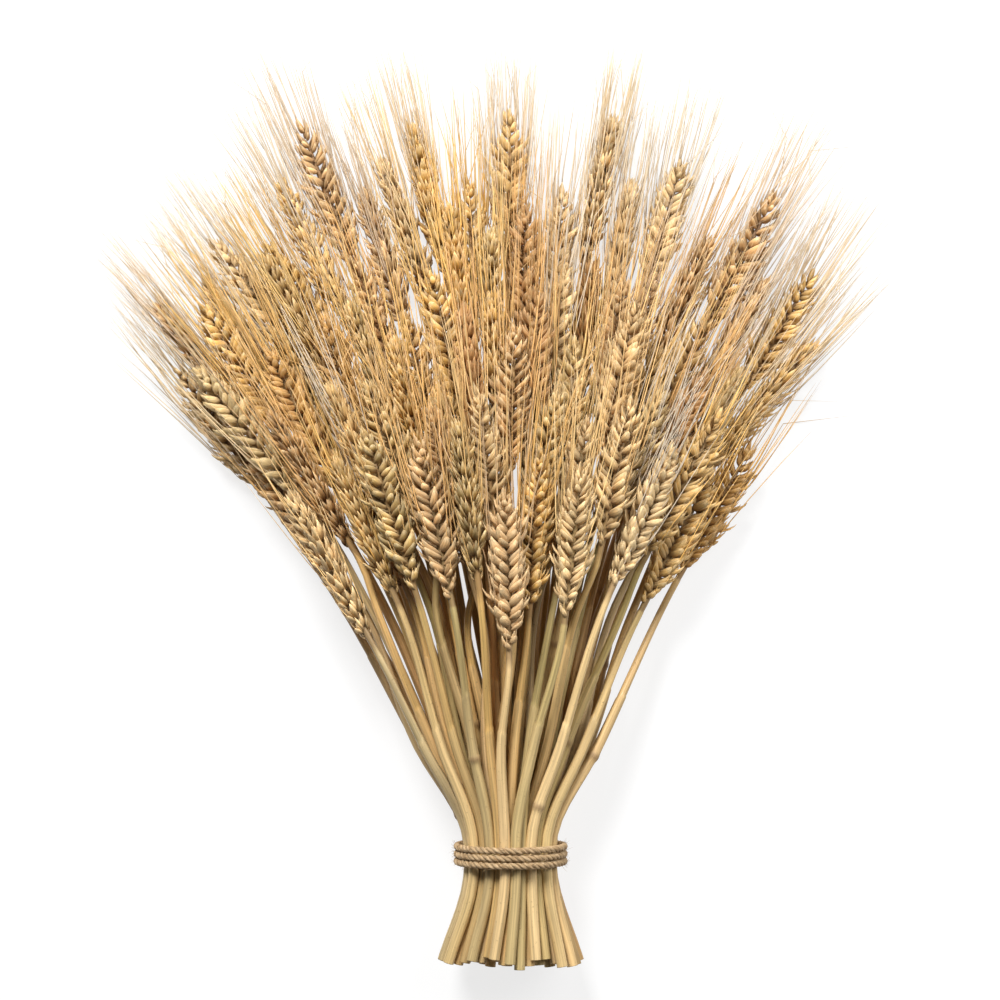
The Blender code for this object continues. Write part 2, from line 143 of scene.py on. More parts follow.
def flow(cells, y):
    """(x, z) of each stalk at y, with its side -1 to 1 and its height 0 to 1: a disc turned by the twist, its
    width stretched to the fan's and its height laid over into a pile with a flat bottom."""
    radius = TIE_HALF_WIDTH - STRAW_R
    turn = TIE_TWIST * smooth_step(y, 0, TWIST_LONG)
    turn = turn - TWIST_BELOW * TIE_TWIST * smooth_step(-y, 0, TWIST_LONG_BELOW)
    side, up = (way / radius for way in turned(cells[:, 0], cells[:, 1], turn))
    chord = np.sqrt(np.clip(1 - side**2, LEAST_CHORD, 1))
    height = 0.5 + 0.5 * np.clip(up / chord, -1, 1)
    edge = ease(y, EDGE_FROM, EDGE_TO, STRAW_R, EDGE_ROOM)
    x = CENTRE_DRIFT * max(y, 0) + side * (half_width(y) - edge)
    pile = smooth_step(abs(y), PILE_FROM, PILE_TO)
    lowest = TIE_BORE + TIE_WALL - TIE_FLAT - radius
    floor = lowest + (EAR_HALF_THICK - lowest) * pile
    thick = 2 * radius + (PILE_THICK - 2 * radius) * pile
    z = floor + (1 - pile) * radius * (1 - chord) + height * thick * chord
    return np.stack([x, z], axis=1), side, height


print("the first cell crosses y = 200 mm at x, z =", flow(tie_cells()[:1], 200.0)[0].round(1))

# %% [markdown]
# ## One stalk's course
#
# A stalk gets its sizes from the seed, always in the same order: how high its ear reaches, how long the ear is,
# whether it shows its broad face or its edge, where the straw was cut, and how it wanders. Ears low in the
# pile reach furthest, and those on top are shorter, so that every ear in the picture finds a place of its own.

# %% Stalks from the seed
CUT_Y, CUT_RAGGED = -50.0, 6.0
PINCH_Y = 8.0
STEM_Y = (-PINCH_Y, PINCH_Y, 48.0, 108.0, 178.0, 245.0)
EARS_Y = 250.0
LEAST_STEP = 20.0
LEAN_STEP = 20
PRESS = 0.4
EAR_LONG = (62.0, 70.0)
TIP_POINT = 5.0
EDGE_ON_SHARE = 0.35
ROLL_SPREAD = math.radians(16)
TOP_TIPS, TOP_FALL, LOW_TIPS, TIP_SCATTER = 334.0, 0.33, 167.0, 12.0
WANDER, WANDER_FROM, WANDER_TO = (2.2, 1.0), 20, 120
TAPER_FROM = 20


def ear_outline(along):
    """Half width of an ear as a share of its widest: a quick swell from the foot, then a slow taper."""
    swell = np.minimum(1, 0.5 + 2.2 * along)
    return swell * (1 - 0.5 * np.clip((along - 0.5) / 0.5, 0, 1) ** 1.6)


class Stalk:
    """One stalk: its sizes, and the points (x, z at each y) that its straw and its ear run through."""

    def __init__(self, cell, rng):
        self.cell = cell
        self.partner = None
        _, side, height = flow(cell[None], EARS_Y)
        self.side = side[0]
        self.height = height[0]
        top = TOP_TIPS * (1 - TOP_FALL * side[0] ** 2)
        tip = top - (top - LOW_TIPS) * height[0] + rng.uniform(-TIP_SCATTER, TIP_SCATTER)
        self.reach = tip / top
        long = rng.uniform(*EAR_LONG)
        lean = side[0] * (half_width(tip - LEAN_STEP) - half_width(tip - 2 * LEAN_STEP)) / LEAN_STEP
        self.stretch = math.hypot(1, lean)
        base = tip - long / self.stretch
        edge_on = rng.random() < EDGE_ON_SHARE
        self.roll = rng.normal(0, ROLL_SPREAD) + (math.pi / 2 if edge_on else 0)
        cut = CUT_Y + rng.uniform(0, CUT_RAGGED)
        self.ys = np.array([cut] + [y for y in STEM_Y if y < base - LEAST_STEP] + [base, tip])
        self.at = np.array([flow(cell[None], y)[0][0] for y in self.ys])
        self.free = (self.ys > PINCH_Y).astype(float)[:, None]
        wander = rng.normal(0, 1, self.at.shape) * WANDER
        self.at += wander * self.free * smooth_step(self.ys, WANDER_FROM, WANDER_TO)[:, None]

    def point(self, k):
        return np.array([self.at[k][0], self.ys[k], self.at[k][1]])

    def press_on(self, other):
        """Moves two neighbours in the tie towards each other, so that they touch there."""
        self.partner, other.partner = other, self
        for k in (1, 2):
            way = other.at[k] - self.at[k]
            way = way / np.hypot(*way)
            self.at[k] += PRESS * way
            other.at[k] -= PRESS * way

    def half_sizes(self, y):
        """Half the stalk's size along X and Z at each y: the straw's radius, or the turned ear's half axes."""
        base, tip = self.ys[-2:]
        straw = ease(y, TAPER_FROM, base, STRAW_R, STRAW_TOP_R)
        shape = ear_outline(np.clip((y - base) / (tip - base), 0, 1))
        inside = (y >= self.ys[0]) & (y <= tip + TIP_POINT)
        cos, sin = math.cos(self.roll), math.sin(self.roll)
        across = np.hypot(EAR_HALF_WIDE * cos, EAR_HALF_THICK * sin)
        upright = np.hypot(EAR_HALF_THICK * cos, EAR_HALF_WIDE * sin)
        wide, high = (np.where(y > base, np.maximum(half * shape, straw), straw) for half in (across, upright))
        return wide * self.stretch * inside, high * inside


layout_rng = np.random.default_rng(SEED)
stalks = [Stalk(cell, layout_rng) for cell in tie_cells()]
print("ears end between", round(min(s.ys[-1] for s in stalks)), "and", round(max(s.ys[-1] for s in stalks)), "mm")

# %% [markdown]
# Fourteen pairs of neighbours whose heads point the same way touch in the tie, and share one solid in the
# model. Naming the pairs here lets each finished piece stand exactly for the solid it replaces.

# %% Pairs that share a solid
PAIRS = 14
NEIGHBOURS = 1.1 * PITCH


def pair_up(stalks):
    """The pairs of neighbours in the tie with the least difference in side, each stalk in one pair at most."""
    close = []
    for n, one in enumerate(stalks):
        for m in range(n + 1, len(stalks)):
            if np.hypot(*(one.cell - stalks[m].cell)) < NEIGHBOURS:
                close.append((abs(one.side - stalks[m].side), n, m))
    pairs = []
    for _, n, m in sorted(close):
        if len(pairs) < PAIRS and not stalks[n].partner and not stalks[m].partner:
            stalks[n].press_on(stalks[m])
            pairs.append((n, m))
    return pairs


pairs = pair_up(stalks)
print("pairs:", pairs)

# %% [markdown]
# ## Letting the pile settle
#
# Courses drawn by rule run through each other. A physics engine could sort them out, but it is slow and gives a
# slightly different heap each time. Here the stalks are cut by planes across the bundle. In each plane every
# stalk is an ellipse, and ellipses that overlap push each other apart by half their overlap. The pushes
# go back to the few points that carry each course, a little stiffness keeps the courses smooth, and a little
# weight brings them down to the table. Both fade, so that the last rounds only clear what still touches.

# %% Settle the stalks
FURTHEST_AWN = 364.0
GAP, TIE_GAP, GAP_OPEN_AT, FLOOR_GAP = 0.95, 0.2, 60, 0.5
NEAR, PLANE_STEP = 2.5, 6.0
ROUNDS, LOOK_AGAIN = 1100, 60
MOST_PUSH, MOST_MOVE, HASTE = 3, 2, 1.8
STIFF, PULL, SINK = 0.12, 0.004, 0.05


def near_pairs(at, sizes, gap, there):
    """Numbers of the stalks that come near each other in any plane, and a table of who is pushed which way."""
    first, second = np.triu_indices(len(at), 1)
    apart = np.abs(at[first] - at[second]) / (sizes[first] + sizes[second] + gap)
    close = (apart.max(axis=-1) < NEAR) & there[first] & there[second]
    first, second = first[close.any(axis=1)], second[close.any(axis=1)]
    number = np.arange(len(at))[:, None]
    return first, second, (number == first) * 1.0 - (number == second)


def settle(stalks):
    """Relaxes the courses: push apart where scaled distance < 1, smooth by the mean of the neighbours, sink."""
    planes = np.arange(CUT_Y, FURTHEST_AWN, PLANE_STEP)
    most = max(len(s.ys) for s in stalks)
    share = np.zeros((len(stalks), len(planes), most))
    nodes = np.zeros((len(stalks), most, 2))
    free, inner = np.zeros((2, len(stalks), most, 1))
    turn = np.full((len(stalks), most, 1), 0.5)
    sizes = np.zeros((len(stalks), len(planes), 2))
    for n, stalk in enumerate(stalks):
        ys, last = stalk.ys, len(stalk.ys) - 1
        for k in range(last + 1):
            share[n, :, k] = np.interp(planes, ys, np.eye(last + 1)[k])
        nodes[n, : last + 1] = stalk.at
        free[n, : last + 1] = stalk.free
        free[n, last] = 1
        inner[n, 1:last] = 1
        turn[n, 1:last, 0] = (ys[1:-1] - ys[:-2]) / (ys[2:] - ys[:-2])
        sizes[n] = np.stack(stalk.half_sizes(planes), axis=1)
    goal = nodes.copy()
    weight = share.sum(axis=1)[..., None] + 1e-9
    there = sizes[..., 0] > 0
    gap = ease(planes, PINCH_Y, GAP_OPEN_AT, TIE_GAP, GAP)[:, None]
    for step in range(ROUNDS):
        at = np.einsum("npk,nkc->npc", share, nodes)
        if step % LOOK_AGAIN == 0:
            first, second, pushed = near_pairs(at, sizes, gap, there)
            both = (there[first] & there[second])[..., None]
            reach = sizes[first] + sizes[second] + gap
        apart = at[first] - at[second]
        distance = np.sqrt(((apart / reach) ** 2).sum(axis=-1, keepdims=True)) + 1e-6
        press = np.where(both & (distance < 1), 1 / distance - 1, 0)
        push = 0.5 * np.tensordot(pushed, np.clip(apart * press, -MOST_PUSH, MOST_PUSH), axes=1)
        low = sizes[..., 1] + FLOOR_GAP - at[..., 1]
        push[..., 1] += np.where(there & (low > 0), low, 0)
        moved = np.einsum("npk,npc->nkc", share, np.clip(push, -MOST_MOVE, MOST_MOVE)) / weight * HASTE
        nodes = nodes + moved * free
        strain = nodes - goal
        before = np.roll(strain, 1, axis=1)
        after = np.roll(strain, -1, axis=1)
        even = before + (after - before) * turn - strain
        calm = 1 - step / ROUNDS
        nodes = nodes + (STIFF * even * inner - PULL * strain) * calm * free
        nodes[..., 1] -= SINK * free[..., 0] * calm
    for n, stalk in enumerate(stalks):
        stalk.at = nodes[n, : len(stalk.ys)]


settle(stalks)
print("the pile is settled over", ROUNDS, "rounds")

# %% [markdown]
# Each course has to run inside the solid that its piece will replace. So its cut end and the foot of its ear
# have to lie in that solid's box, give or take a millimetre.

# %% Compare the courses with the solids
node_stalks = {f"stalks_{n + 1:02d}_{m + 1:02d}": (n, m) for n, m in pairs}
node_stalks |= {f"stalk_{n + 1:02d}": (n,) for n, stalk in enumerate(stalks) if not stalk.partner}
missing = sorted(set(node_stalks) ^ (set(frame["nodes"]) - {"tie"}))
astray = []
for name, members in node_stalks.items():
    low, high = np.array(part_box(name)) / MM
    for point in (stalks[n].point(k) for n in members for k in (0, -2)):
        if (point < low - 1).any() or (point > high + 1).any():
            astray.append(name)
print("names that differ:", missing, "courses outside their solids:", astray)

# %% [markdown]
# ## Tubes, the one shape that everything here is made of
#
# A straw is a tube, a husk is a short fat tube with pointed ends, an awn is a long thin one, and so is a ply of
# twine. One function makes any number of them at once. A tube is a row of rings on a path. Each ring
# is its centre plus one vector times the cosine and another times the sine of an angle, so the two vectors give
# it its width, its thickness and its slant. A single point closes each end.

# %% Many tubes at once


def unit(vectors):
    return vectors / np.linalg.norm(vectors, axis=-1, keepdims=True)


def across_and_out(path, facing):
    """The ways across and out of every ring of a tube, square to its path and turned towards the way it faces."""
    ahead = unit(np.gradient(path, axis=1))[:, 1:-1]
    across = unit(np.cross(ahead, facing))
    return across, np.cross(across, ahead)


def section(sides, keel):
    """cos(a) and h(a) for equal steps of a. A round section has h = sin(a). A keeled one has a ridge in front,
    h = sin(a) |sin(a)|^keel, and a back of half that height."""
    angle = 2 * np.pi * (np.arange(sides) + 0.5) / sides
    high = np.sin(angle) * np.abs(np.sin(angle)) ** keel
    return np.cos(angle), np.where((high < 0) & (keel > 0), 0.5 * high, high)


def tubes(path, wide, thick, sides, keel=0.0):
    """Points path + wide cos(a) + thick h(a) for equal steps of a, for arrays (tubes, rings, 3), where path has
    one more point at each end for the closing poles. Gives points (tubes, rings * sides + 2, 3) and faces."""
    count, rings = wide.shape[:2]
    level, high = section(sides, keel)
    body = path[:, 1:-1, None] + wide[:, :, None] * level[:, None] + thick[:, :, None] * high[:, None]
    points = np.concatenate([path[:, :1], body.reshape(count, -1, 3), path[:, -1:]], axis=1)
    ring = np.arange(rings - 1)[:, None] * sides + 1
    here, there = np.arange(sides), (np.arange(sides) + 1) % sides
    quads = np.stack([ring + here, ring + there, ring + sides + there, ring + sides + here], axis=-1).reshape(-1, 4)
    last = (rings - 1) * sides + 1
    foot = np.stack([np.zeros(sides, int), there + 1, here + 1], axis=-1)
    head = np.stack([np.full(sides, last + sides), last + here, last + there], axis=-1)
    start = (np.arange(count) * points.shape[1])[:, None, None]
    return points, (quads + start).reshape(-1, 4), (np.concatenate([foot, head]) + start).reshape(-1, 3)


trial = tubes(np.zeros((2, 5, 3)), np.zeros((2, 3, 3)), np.zeros((2, 3, 3)), 6)
print("two tubes of three rings:", trial[0].shape, "points,", len(trial[1]), "quads,", len(trial[2]), "triangles")

# %% [markdown]
# A piece is put together from several batches of tubes, each with its own material. Three things are stored at
# every point for the materials to read. *grain* is the point's place on the same tube laid straight, so that
# streaks run along a straw however it lies. *shade* holds the stalk's own shade, the part's own shade and the
# share of the way along the part. *rim* is 1 at a part's two edges and 0 at its keel, where a husk has papery
# margins and a darker rib.

# %% A piece from batches of tubes
TABLE_ROOM = 0.02
box_low, box_high = np.array(cad_box) / MM + [[0, 0, TABLE_ROOM], [0, 0, 0]]


def shades(stalk_shade, own, along):
    """The three numbers of *shade* for every point of every path, from numbers or arrays (tubes, path points)."""
    return np.stack(np.broadcast_arrays(stalk_shade, own, along), axis=-1)


class Piece:
    """Collects batches of tubes, kept inside the solids' box, and turns them into one mesh object in metres."""

    def __init__(self, name):
        self.name, self.kinds, self.count = name, [], 0
        self.batches = {label: [] for label in ("co", "grain", "shade", "rim", "quads", "fans")}

    def add(self, kind, path, wide, thick, sides, shade, offset, keel=0.0):
        """One batch: shade is (tubes, path points, 3) and offset (tubes, 3) moves each tube's grain apart."""
        points, quads, fans = tubes(path, wide, thick, sides, keel)
        rings = wide.shape[1]
        straight = np.zeros_like(path)
        straight[:, 1:, 2] = np.cumsum(np.linalg.norm(np.diff(path, axis=1), axis=-1), axis=1)
        radius = np.linalg.norm(wide, axis=-1, keepdims=True)
        rim = np.full((*points.shape[:2], 1), 0.5)
        rim[:, 1:-1, 0] = np.tile(section(sides, 0)[0] ** 2, rings)
        batch = {
            "co": points.clip(box_low, box_high),
            "grain": tubes(straight, radius * [1, 0, 0], radius * [0, 1, 0], sides)[0] + offset[:, None],
            "shade": np.repeat(shade, [1] + [sides] * rings + [1], axis=1),
            "rim": rim,
            "quads": quads + self.count,
            "fans": fans + self.count,
        }
        for label, values in batch.items():
            self.batches[label].append(values.reshape(-1, values.shape[-1]))
        self.kinds.append((kind, len(quads), len(fans)))
        self.count += rim.size

    def build(self, materials):
        """The mesh, with its faces' materials in the order of the list and its three point attributes."""
        made = {label: np.concatenate(batches) for label, batches in self.batches.items()}
        corners = np.concatenate([made["quads"].ravel(), made["fans"].ravel()]).astype(np.int32)
        totals = np.repeat([4, 3], [len(made["quads"]), len(made["fans"])]).astype(np.int32)
        kinds, quads, fans = np.array(self.kinds, np.int32).T
        mesh = bpy.data.meshes.new(self.name)
        mesh.vertices.add(self.count)
        mesh.vertices.foreach_set("co", (made["co"] * MM).ravel())
        mesh.loops.add(len(corners))
        mesh.loops.foreach_set("vertex_index", corners)
        mesh.polygons.add(len(totals))
        for label, values in (
            ("loop_start", np.cumsum(totals, dtype=np.int32) - totals),
            ("loop_total", totals),
            ("material_index", np.concatenate([np.repeat(kinds, quads), np.repeat(kinds, fans)])),
            ("use_smooth", np.ones(len(totals), bool)),
        ):
            mesh.polygons.foreach_set(label, values)
        mesh.update(calc_edges=True)
        for label, kind, field, unit_size in (
            ("grain", "FLOAT_VECTOR", "vector", MM),
            ("shade", "FLOAT_VECTOR", "vector", 1),
            ("rim", "FLOAT", "value", 1),
        ):
            layer = mesh.attributes.new(label, kind, "POINT")
            layer.data.foreach_set(field, (made[label] * unit_size).ravel())
        for material in materials:
            mesh.materials.append(material)
        thing = bpy.data.objects.new(self.name, mesh)
        bpy.context.scene.collection.objects.link(thing)
        return thing

    def triangles(self):
        return sum(2 * quads + fans for _, quads, fans in self.kinds)


print("a piece stores", ["grain", "shade", "rim"], "at every point")

# %% [markdown]
# ## The straw's course
#
# The few points of a course are joined by cubic curves. Each curve leaves a point with the slope that its
# two neighbours give it, so the whole straw bends smoothly and still passes through every point. At the top
# the slope is the ear's own, and there the straw goes on as the thin spine that carries the husks.

# %% Smooth courses
MERGE = 3.0


def course(stalk, y):
    """Points on the straw at each y: cubic Hermite curves in y through the course's points, where a point's slope
    is the mean of the slopes beside it, weighted by the other's length, and the last slope is the ear's."""
    ear_slope = (stalk.at[-1] - stalk.at[-2]) / (stalk.ys[-1] - stalk.ys[-2])
    ys = np.append(stalk.ys[:-2], stalk.ys[-2] - MERGE)
    at = np.vstack([stalk.at[:-2], stalk.at[-2] - MERGE * ear_slope])
    gaps = np.diff(ys)[:, None]
    slopes = np.diff(at, axis=0) / gaps
    inner = (slopes[:-1] * gaps[1:] + slopes[1:] * gaps[:-1]) / (gaps[1:] + gaps[:-1])
    slope = np.vstack([slopes[:1], inner, ear_slope[None]])
    k = np.clip(np.searchsorted(ys, y) - 1, 0, len(ys) - 2)
    gap = gaps[k]
    t = ((y - ys[k])[:, None] / gap).clip(0, None)
    inside = (2 * t**3 - 3 * t**2 + 1) * at[k] + (t**3 - 2 * t**2 + t) * gap * slope[k]
    inside += (3 * t**2 - 2 * t**3) * at[k + 1] + (t**3 - t**2) * gap * slope[k + 1]
    beyond = at[-1] + (y - ys[-1])[:, None] * ear_slope
    xz = np.where((y > ys[-1])[:, None], beyond, inside)
    return np.stack([xz[:, 0], y, xz[:, 1]], axis=1)


sample = course(stalks[0], np.array([0.0, 100.0, 150.0]))
print("the first stalk runs through", sample.round(1).tolist())

# %% [markdown]
# ## The straw
#
# A wheat straw isn't an even pipe. A leaf wraps each length of it as a thin sheath, which ends in a slanted
# edge, and above it the bare straw is thinner and glossier. Where a leaf began there is a joint, a short swollen
# ring with a pinch below it. All of this is in the radius along the straw. Extra rings stand where it
# changes quickly. The cut end is hollow, so the profile starts deep inside, comes out along the bore, turns over
# the rim and goes up the outside.

# %% Rings of a straw
STRAW_SIDES = 9
RING_STEP, LEAST_RING_STEP = 7.0, 1.6
SHEATH_RINGS = (-1.0, 0.0, 0.9, 2.5)
JOINT_RINGS = (-4.0, -2.4, -1.3, -0.5, 0.5, 1.3, 2.4)


def straw_rings(cut, base, sheath, joints):
    """The y of every ring: even steps, with close ones at the cut, the sheath's end and the joints."""
    even = np.arange(cut + 2.0, base - MERGE, RING_STEP)
    close = [sheath + d for d in SHEATH_RINGS] + [joint + d for joint in joints for d in JOINT_RINGS]
    crowded = np.min(np.abs(even[:, None] - np.array(close)), axis=1) < LEAST_RING_STEP
    return np.sort(np.concatenate([[cut, cut + 0.3], even[~crowded], close]))


def bell(y, middle, long):
    """exp(-(d / long)^2) of the distance d from the middle."""
    return np.exp(-(((y - middle) / long) ** 2))


print("rings of a straw 150 mm long:", len(straw_rings(0.0, 150.0, 100.0, [60.0])))

# %% Grow a straw
SHEATH_SHARES, SHEATH_ROOM, LOWEST_JOINT = (0.35, 0.9), 20, 14
JOINT_BELOW = (25, 110)
BARE_SHARE, SHEATH_STEP = 0.93, 0.13
JOINT_LONG, JOINT_SWELL = 1.5, 0.2
PINCH_BELOW, PINCH_LONG, PINCH = 3.2, 1.6, 0.05
SLANT, SLANT_LONG, OVAL = 1.4, 2.0, 0.05
BORE_SHARE, BORE_DEEP = 0.66, 7.0
SPINE_R = 1.5
SPINE_ALONG = np.array([-0.04, 0.0, 0.3, 0.6, 0.88])
SPINE_SHARES = np.array([0.9, 0.95, 1.0, 0.85, 0.5])
TANGENT_STEP = 2.0
GRAIN_APART = 4000


def grow_straw(piece, stalk, rng, stalk_shade):
    """A tube whose radius eases from the foot's to the top's, times a step at the sheath's end and a bell at the
    joint. It starts inside its own bore and goes on as the spine of the ear."""
    cut, base, tip = stalk.ys[[0, -2, -1]]
    sheath = rng.uniform(*SHEATH_SHARES) * (base - 2 * SHEATH_ROOM) + SHEATH_ROOM
    joint = sheath - rng.uniform(*JOINT_BELOW)
    joints = [joint] if joint > LOWEST_JOINT else []
    y = straw_rings(cut, base, sheath, joints)
    wrapped = 1 - smooth_step(y, sheath - 0.2, sheath + 0.8)
    radius = ease(y, TAPER_FROM, base, STRAW_R, STRAW_TOP_R)
    radius *= BARE_SHARE + SHEATH_STEP * wrapped
    swelling = np.zeros_like(y)
    for joint in joints:
        swelling += bell(y, joint, JOINT_LONG)
        radius *= 1 - PINCH * bell(y, joint - PINCH_BELOW, PINCH_LONG)
    radius *= 1 + JOINT_SWELL * swelling
    radius = np.concatenate([radius[0] * BORE_SHARE * np.array([0.9, 1.0]), radius, SPINE_R * SPINE_SHARES])
    bore_y = [cut + BORE_DEEP, cut + BORE_DEEP, cut]
    spine_y = base + (tip - base) * SPINE_ALONG
    centre = course(stalk, np.concatenate([bore_y, y, spine_y, spine_y[-1:] + 2]))
    rings_y = centre[1:-1, 1]
    tangent = unit(np.gradient(course(stalk, np.arange(cut, tip, TANGENT_STEP)), axis=0))
    tangent = tangent[np.clip(((rings_y - cut) / TANGENT_STEP).round().astype(int), 0, len(tangent) - 1)]
    across = unit(np.cross(tangent, (0, 0, 1)))
    wide, thick = turned(across, np.cross(across, tangent), rng.uniform(0, 2 * np.pi))
    oval = 1 + rng.uniform(-OVAL, OVAL)
    wide, thick = wide * (radius * oval)[:, None], thick * (radius / oval)[:, None]
    wide += tangent * (SLANT * bell(rings_y, sheath, SLANT_LONG))[:, None]
    below, above = np.ones(len(bore_y)), np.ones(len(spine_y) + 1)
    own = np.concatenate([below, wrapped, 0 * above])
    # along is 1 on the ear's whole spine, so the spine takes the joints' dark brown.
    along = np.concatenate([0 * below, np.minimum(swelling, 1), above])
    offset = np.array([[0.0, 0.0, rng.uniform(0, GRAIN_APART)]])
    piece.add(0, centre[None], wide[None], thick[None], STRAW_SIDES, shades(stalk_shade, own, along)[None], offset)


trial = Piece("trial")
grow_straw(trial, stalks[0], np.random.default_rng(0), 0.5)
print("one straw:", trial.triangles(), "triangles")

# %% [markdown]
# ## The ear
#
# An ear of wheat is a flat spine with a small cluster of husks, a spikelet, at each step, left and right by
# turns. Seen from the broad face, the two rows meet in a dark zigzag down the middle. Seen from the
# edge, one row shows as plump beads. A spikelet here has seven husks, three on its front, three on its back and
# one between them. The outermost two are short and keeled and end in a little beak. The next four are the longest
# and bear most of the awns. Those at the back sit about a millimetre higher than those in front.

# %% Kinds of husk
SPIKELETS = 23
# Front (+1) or back (-1), foot aside, foot forward, foot up, long, half wide, half thick, tip aside, tip forward,
# faces aside, faces forward, bluntness
HUSK_KINDS = np.array(
    [
        (1, 0.0, 2.5, -0.4, 5.8, 2.3, 1.15, 5.0, 2.8, 0.45, 1.0, 0.75),
        (-1, 0.0, 2.5, 0.8, 5.8, 2.3, 1.15, 5.0, 2.8, 0.45, 1.0, 0.75),
        (1, 0.2, 2.0, 0.9, 8.8, 2.3, 1.3, 6.1, 2.8, 0.4, 0.9, 1.15),
        (-1, 0.2, 2.0, 2.1, 8.6, 2.3, 1.3, 6.1, 2.8, 0.4, 0.9, 1.15),
        (1, 1.5, 0.9, 1.5, 9.2, 1.9, 1.2, 7.0, 1.2, 1.0, 0.5, 1.15),
        (-1, 1.5, 0.9, 2.5, 9.0, 1.9, 1.2, 7.0, 1.2, 1.0, 0.5, 1.15),
        (0, 1.6, 0.0, 3.4, 7.8, 1.6, 1.1, 5.0, 0.0, 1.0, 0.0, 1.1),
    ]
)
BEAKED, BETWEEN = (0, 1), 6


def ear_frame(stalk):
    """The ear's foot and length, and its three directions: along, to a spikelet's side, and out of its face."""
    foot, tip = stalk.point(-2), stalk.point(-1)
    axis = unit(tip - foot)
    level = unit(np.cross(axis, (0, 0, 1)))
    side, face = turned(level, np.cross(level, axis), stalk.roll)
    return foot, np.linalg.norm(tip - foot), axis, side, face


def husk_width(u, blunt):
    """Half width of a husk along it, 1 at its widest: sqrt(u) (1 - u)^b, where a small b gives a blunt tip."""
    peak = 0.5 / (0.5 + blunt)
    return np.sqrt(u) * (1 - u) ** blunt / (np.sqrt(peak) * (1 - peak) ** blunt)


def husk_table(rng):
    """One row for each husk of an ear: its spikelet, its kind, its side, its share of the way up and its size,
    which is small for the few spikelets at the foot that never filled."""
    step = np.repeat(np.arange(SPIKELETS), len(HUSK_KINDS))
    kind = np.tile(np.arange(len(HUSK_KINDS)), SPIKELETS)
    along = (step + 0.35) / SPIKELETS
    size = ear_outline(along) * np.minimum(1, 0.62 + 2.4 * along) * rng.uniform(0.8, 1.08, SPIKELETS)[step]
    return step, kind, np.where(step % 2 == 1, 1.0, -1.0)[:, None], along[:, None], size[:, None]


print("an ear has", SPIKELETS * len(HUSK_KINDS), "husks")

# %% [markdown]
# One could model one husk and copy it, but copies never lie quite as grown ones do. Each husk is worked out from
# its own length, lean and spread instead, and all those of an ear are made in one batch. The ears in front and
# those at the rim of the fan are paler than the ones between.

# %% Grow the husks
HUSK_SIDES = 6
HUSK_RINGS = np.array([0.0, 0.08, 0.3, 0.58, 0.84, 1.0])
KEEL = 0.7
CLOSING, CLOSING_FROM = 0.7, 0.78
EAR_TWIST, SPIKELET_TURN = math.radians(16), 0.12
LOOSE = (0.2, 0.28, 0.13, 0.13)
FACING_SPREAD = 0.2
PALER = 0.55
FRONT_REACH, RIM_REACH = (0.6, 0.75), (0.78, 0.95)
PART_APART = 900


def grow_husks(piece, stalk, rng, stalk_shade):
    """Each husk's path leaves its foot sideways and bends back towards the ear's line: aside by
    out (1.95 u - 0.95 u^2), forward by fan (1.3 u - 0.3 u^2) and up by long u. Gives the tips for the awns."""
    foot, ear_long, axis, side, face = ear_frame(stalk)
    step, kind, right, along, size = husk_table(rng)
    in_front = 1 - smooth_step(stalk.reach, *FRONT_REACH)
    stalk_shade *= 1 - PALER * max(in_front, smooth_step(stalk.reach, *RIM_REACH))
    columns = HUSK_KINDS[kind].T[..., None]
    front, foot_aside, foot_forward, foot_up, long, half_wide, half_thick = columns[:7]
    tip_aside, tip_forward, faces_aside, faces_forward, blunt = columns[7:]
    count = len(kind)
    turn = rng.normal(0, EAR_TWIST) * (along - 0.4) + rng.normal(0, SPIKELET_TURN, (SPIKELETS, 1))[step]
    side, face = turned(side, face, turn)
    front = front + (front == 0) * rng.choice([-0.3, 0.3], (count, 1))
    loose = rng.normal(1, LOOSE, (count, 4)).clip(0.55, 1.4)
    loose[:, 3] *= rng.uniform(0.8, 1.08)
    loose_out, loose_fan, loose_long, loose_wide = loose.T[..., None]
    grown = 0.38 + 0.62 * size
    closing = 1 - CLOSING * smooth_step(along, CLOSING_FROM, 1.0)
    u = HUSK_RINGS
    out = foot_aside * grown * closing + tip_aside * size * closing * loose_out * (1.95 * u - 0.95 * u**2)
    fan = foot_forward * grown + tip_forward * size * loose_fan * (1.3 * u - 0.3 * u**2)
    up = along * ear_long + foot_up * grown + rng.normal(0, 0.25, (count, 1)) + long * grown * loose_long * u
    path = foot + axis * up[..., None]
    path = path + side[:, None] * (right * out)[..., None] + face[:, None] * (front * fan)[..., None]
    facing = side * right * faces_aside + face * front * faces_forward + rng.normal(0, FACING_SPREAD, (count, 3))
    across, outward = across_and_out(path, facing[:, None])
    shape = husk_width(u[1:-1], blunt) * grown * loose_wide
    wide, thick = across * (half_wide * shape)[..., None], outward * (half_thick * shape)[..., None]
    # The share along a husk sets its painted shade at the foot and its painted highlight where it swells.
    shade = shades(stalk_shade, rng.random((count, 1)), u)
    piece.add(1, path, wide, thick, HUSK_SIDES, shade, rng.uniform(0, PART_APART, (count, 3)), KEEL)
    return path[:, -2:], kind, right, front, along


trial = Piece("trial")
husks = grow_husks(trial, stalks[0], np.random.default_rng(0), 0.5)
print("one ear:", trial.triangles(), "triangles")

# %% [markdown]
# ## The awns
#
# The long bristles are what makes this wheat bearded. An awn goes on from the tip of its husk, swings round
# towards the ear's own direction within a few millimetres and then runs nearly straight. Those from the foot of
# the ear are shorter and lean out more. Ears at the rim of the fan keep their awns, bleached by the sun, those
# inside have lost more than half, and a few awns are bent. Hair particles would be quick to make, but they can't
# be kept as a mesh, so each awn is a three-sided tube. The beaks of the short husks are the same, only short.

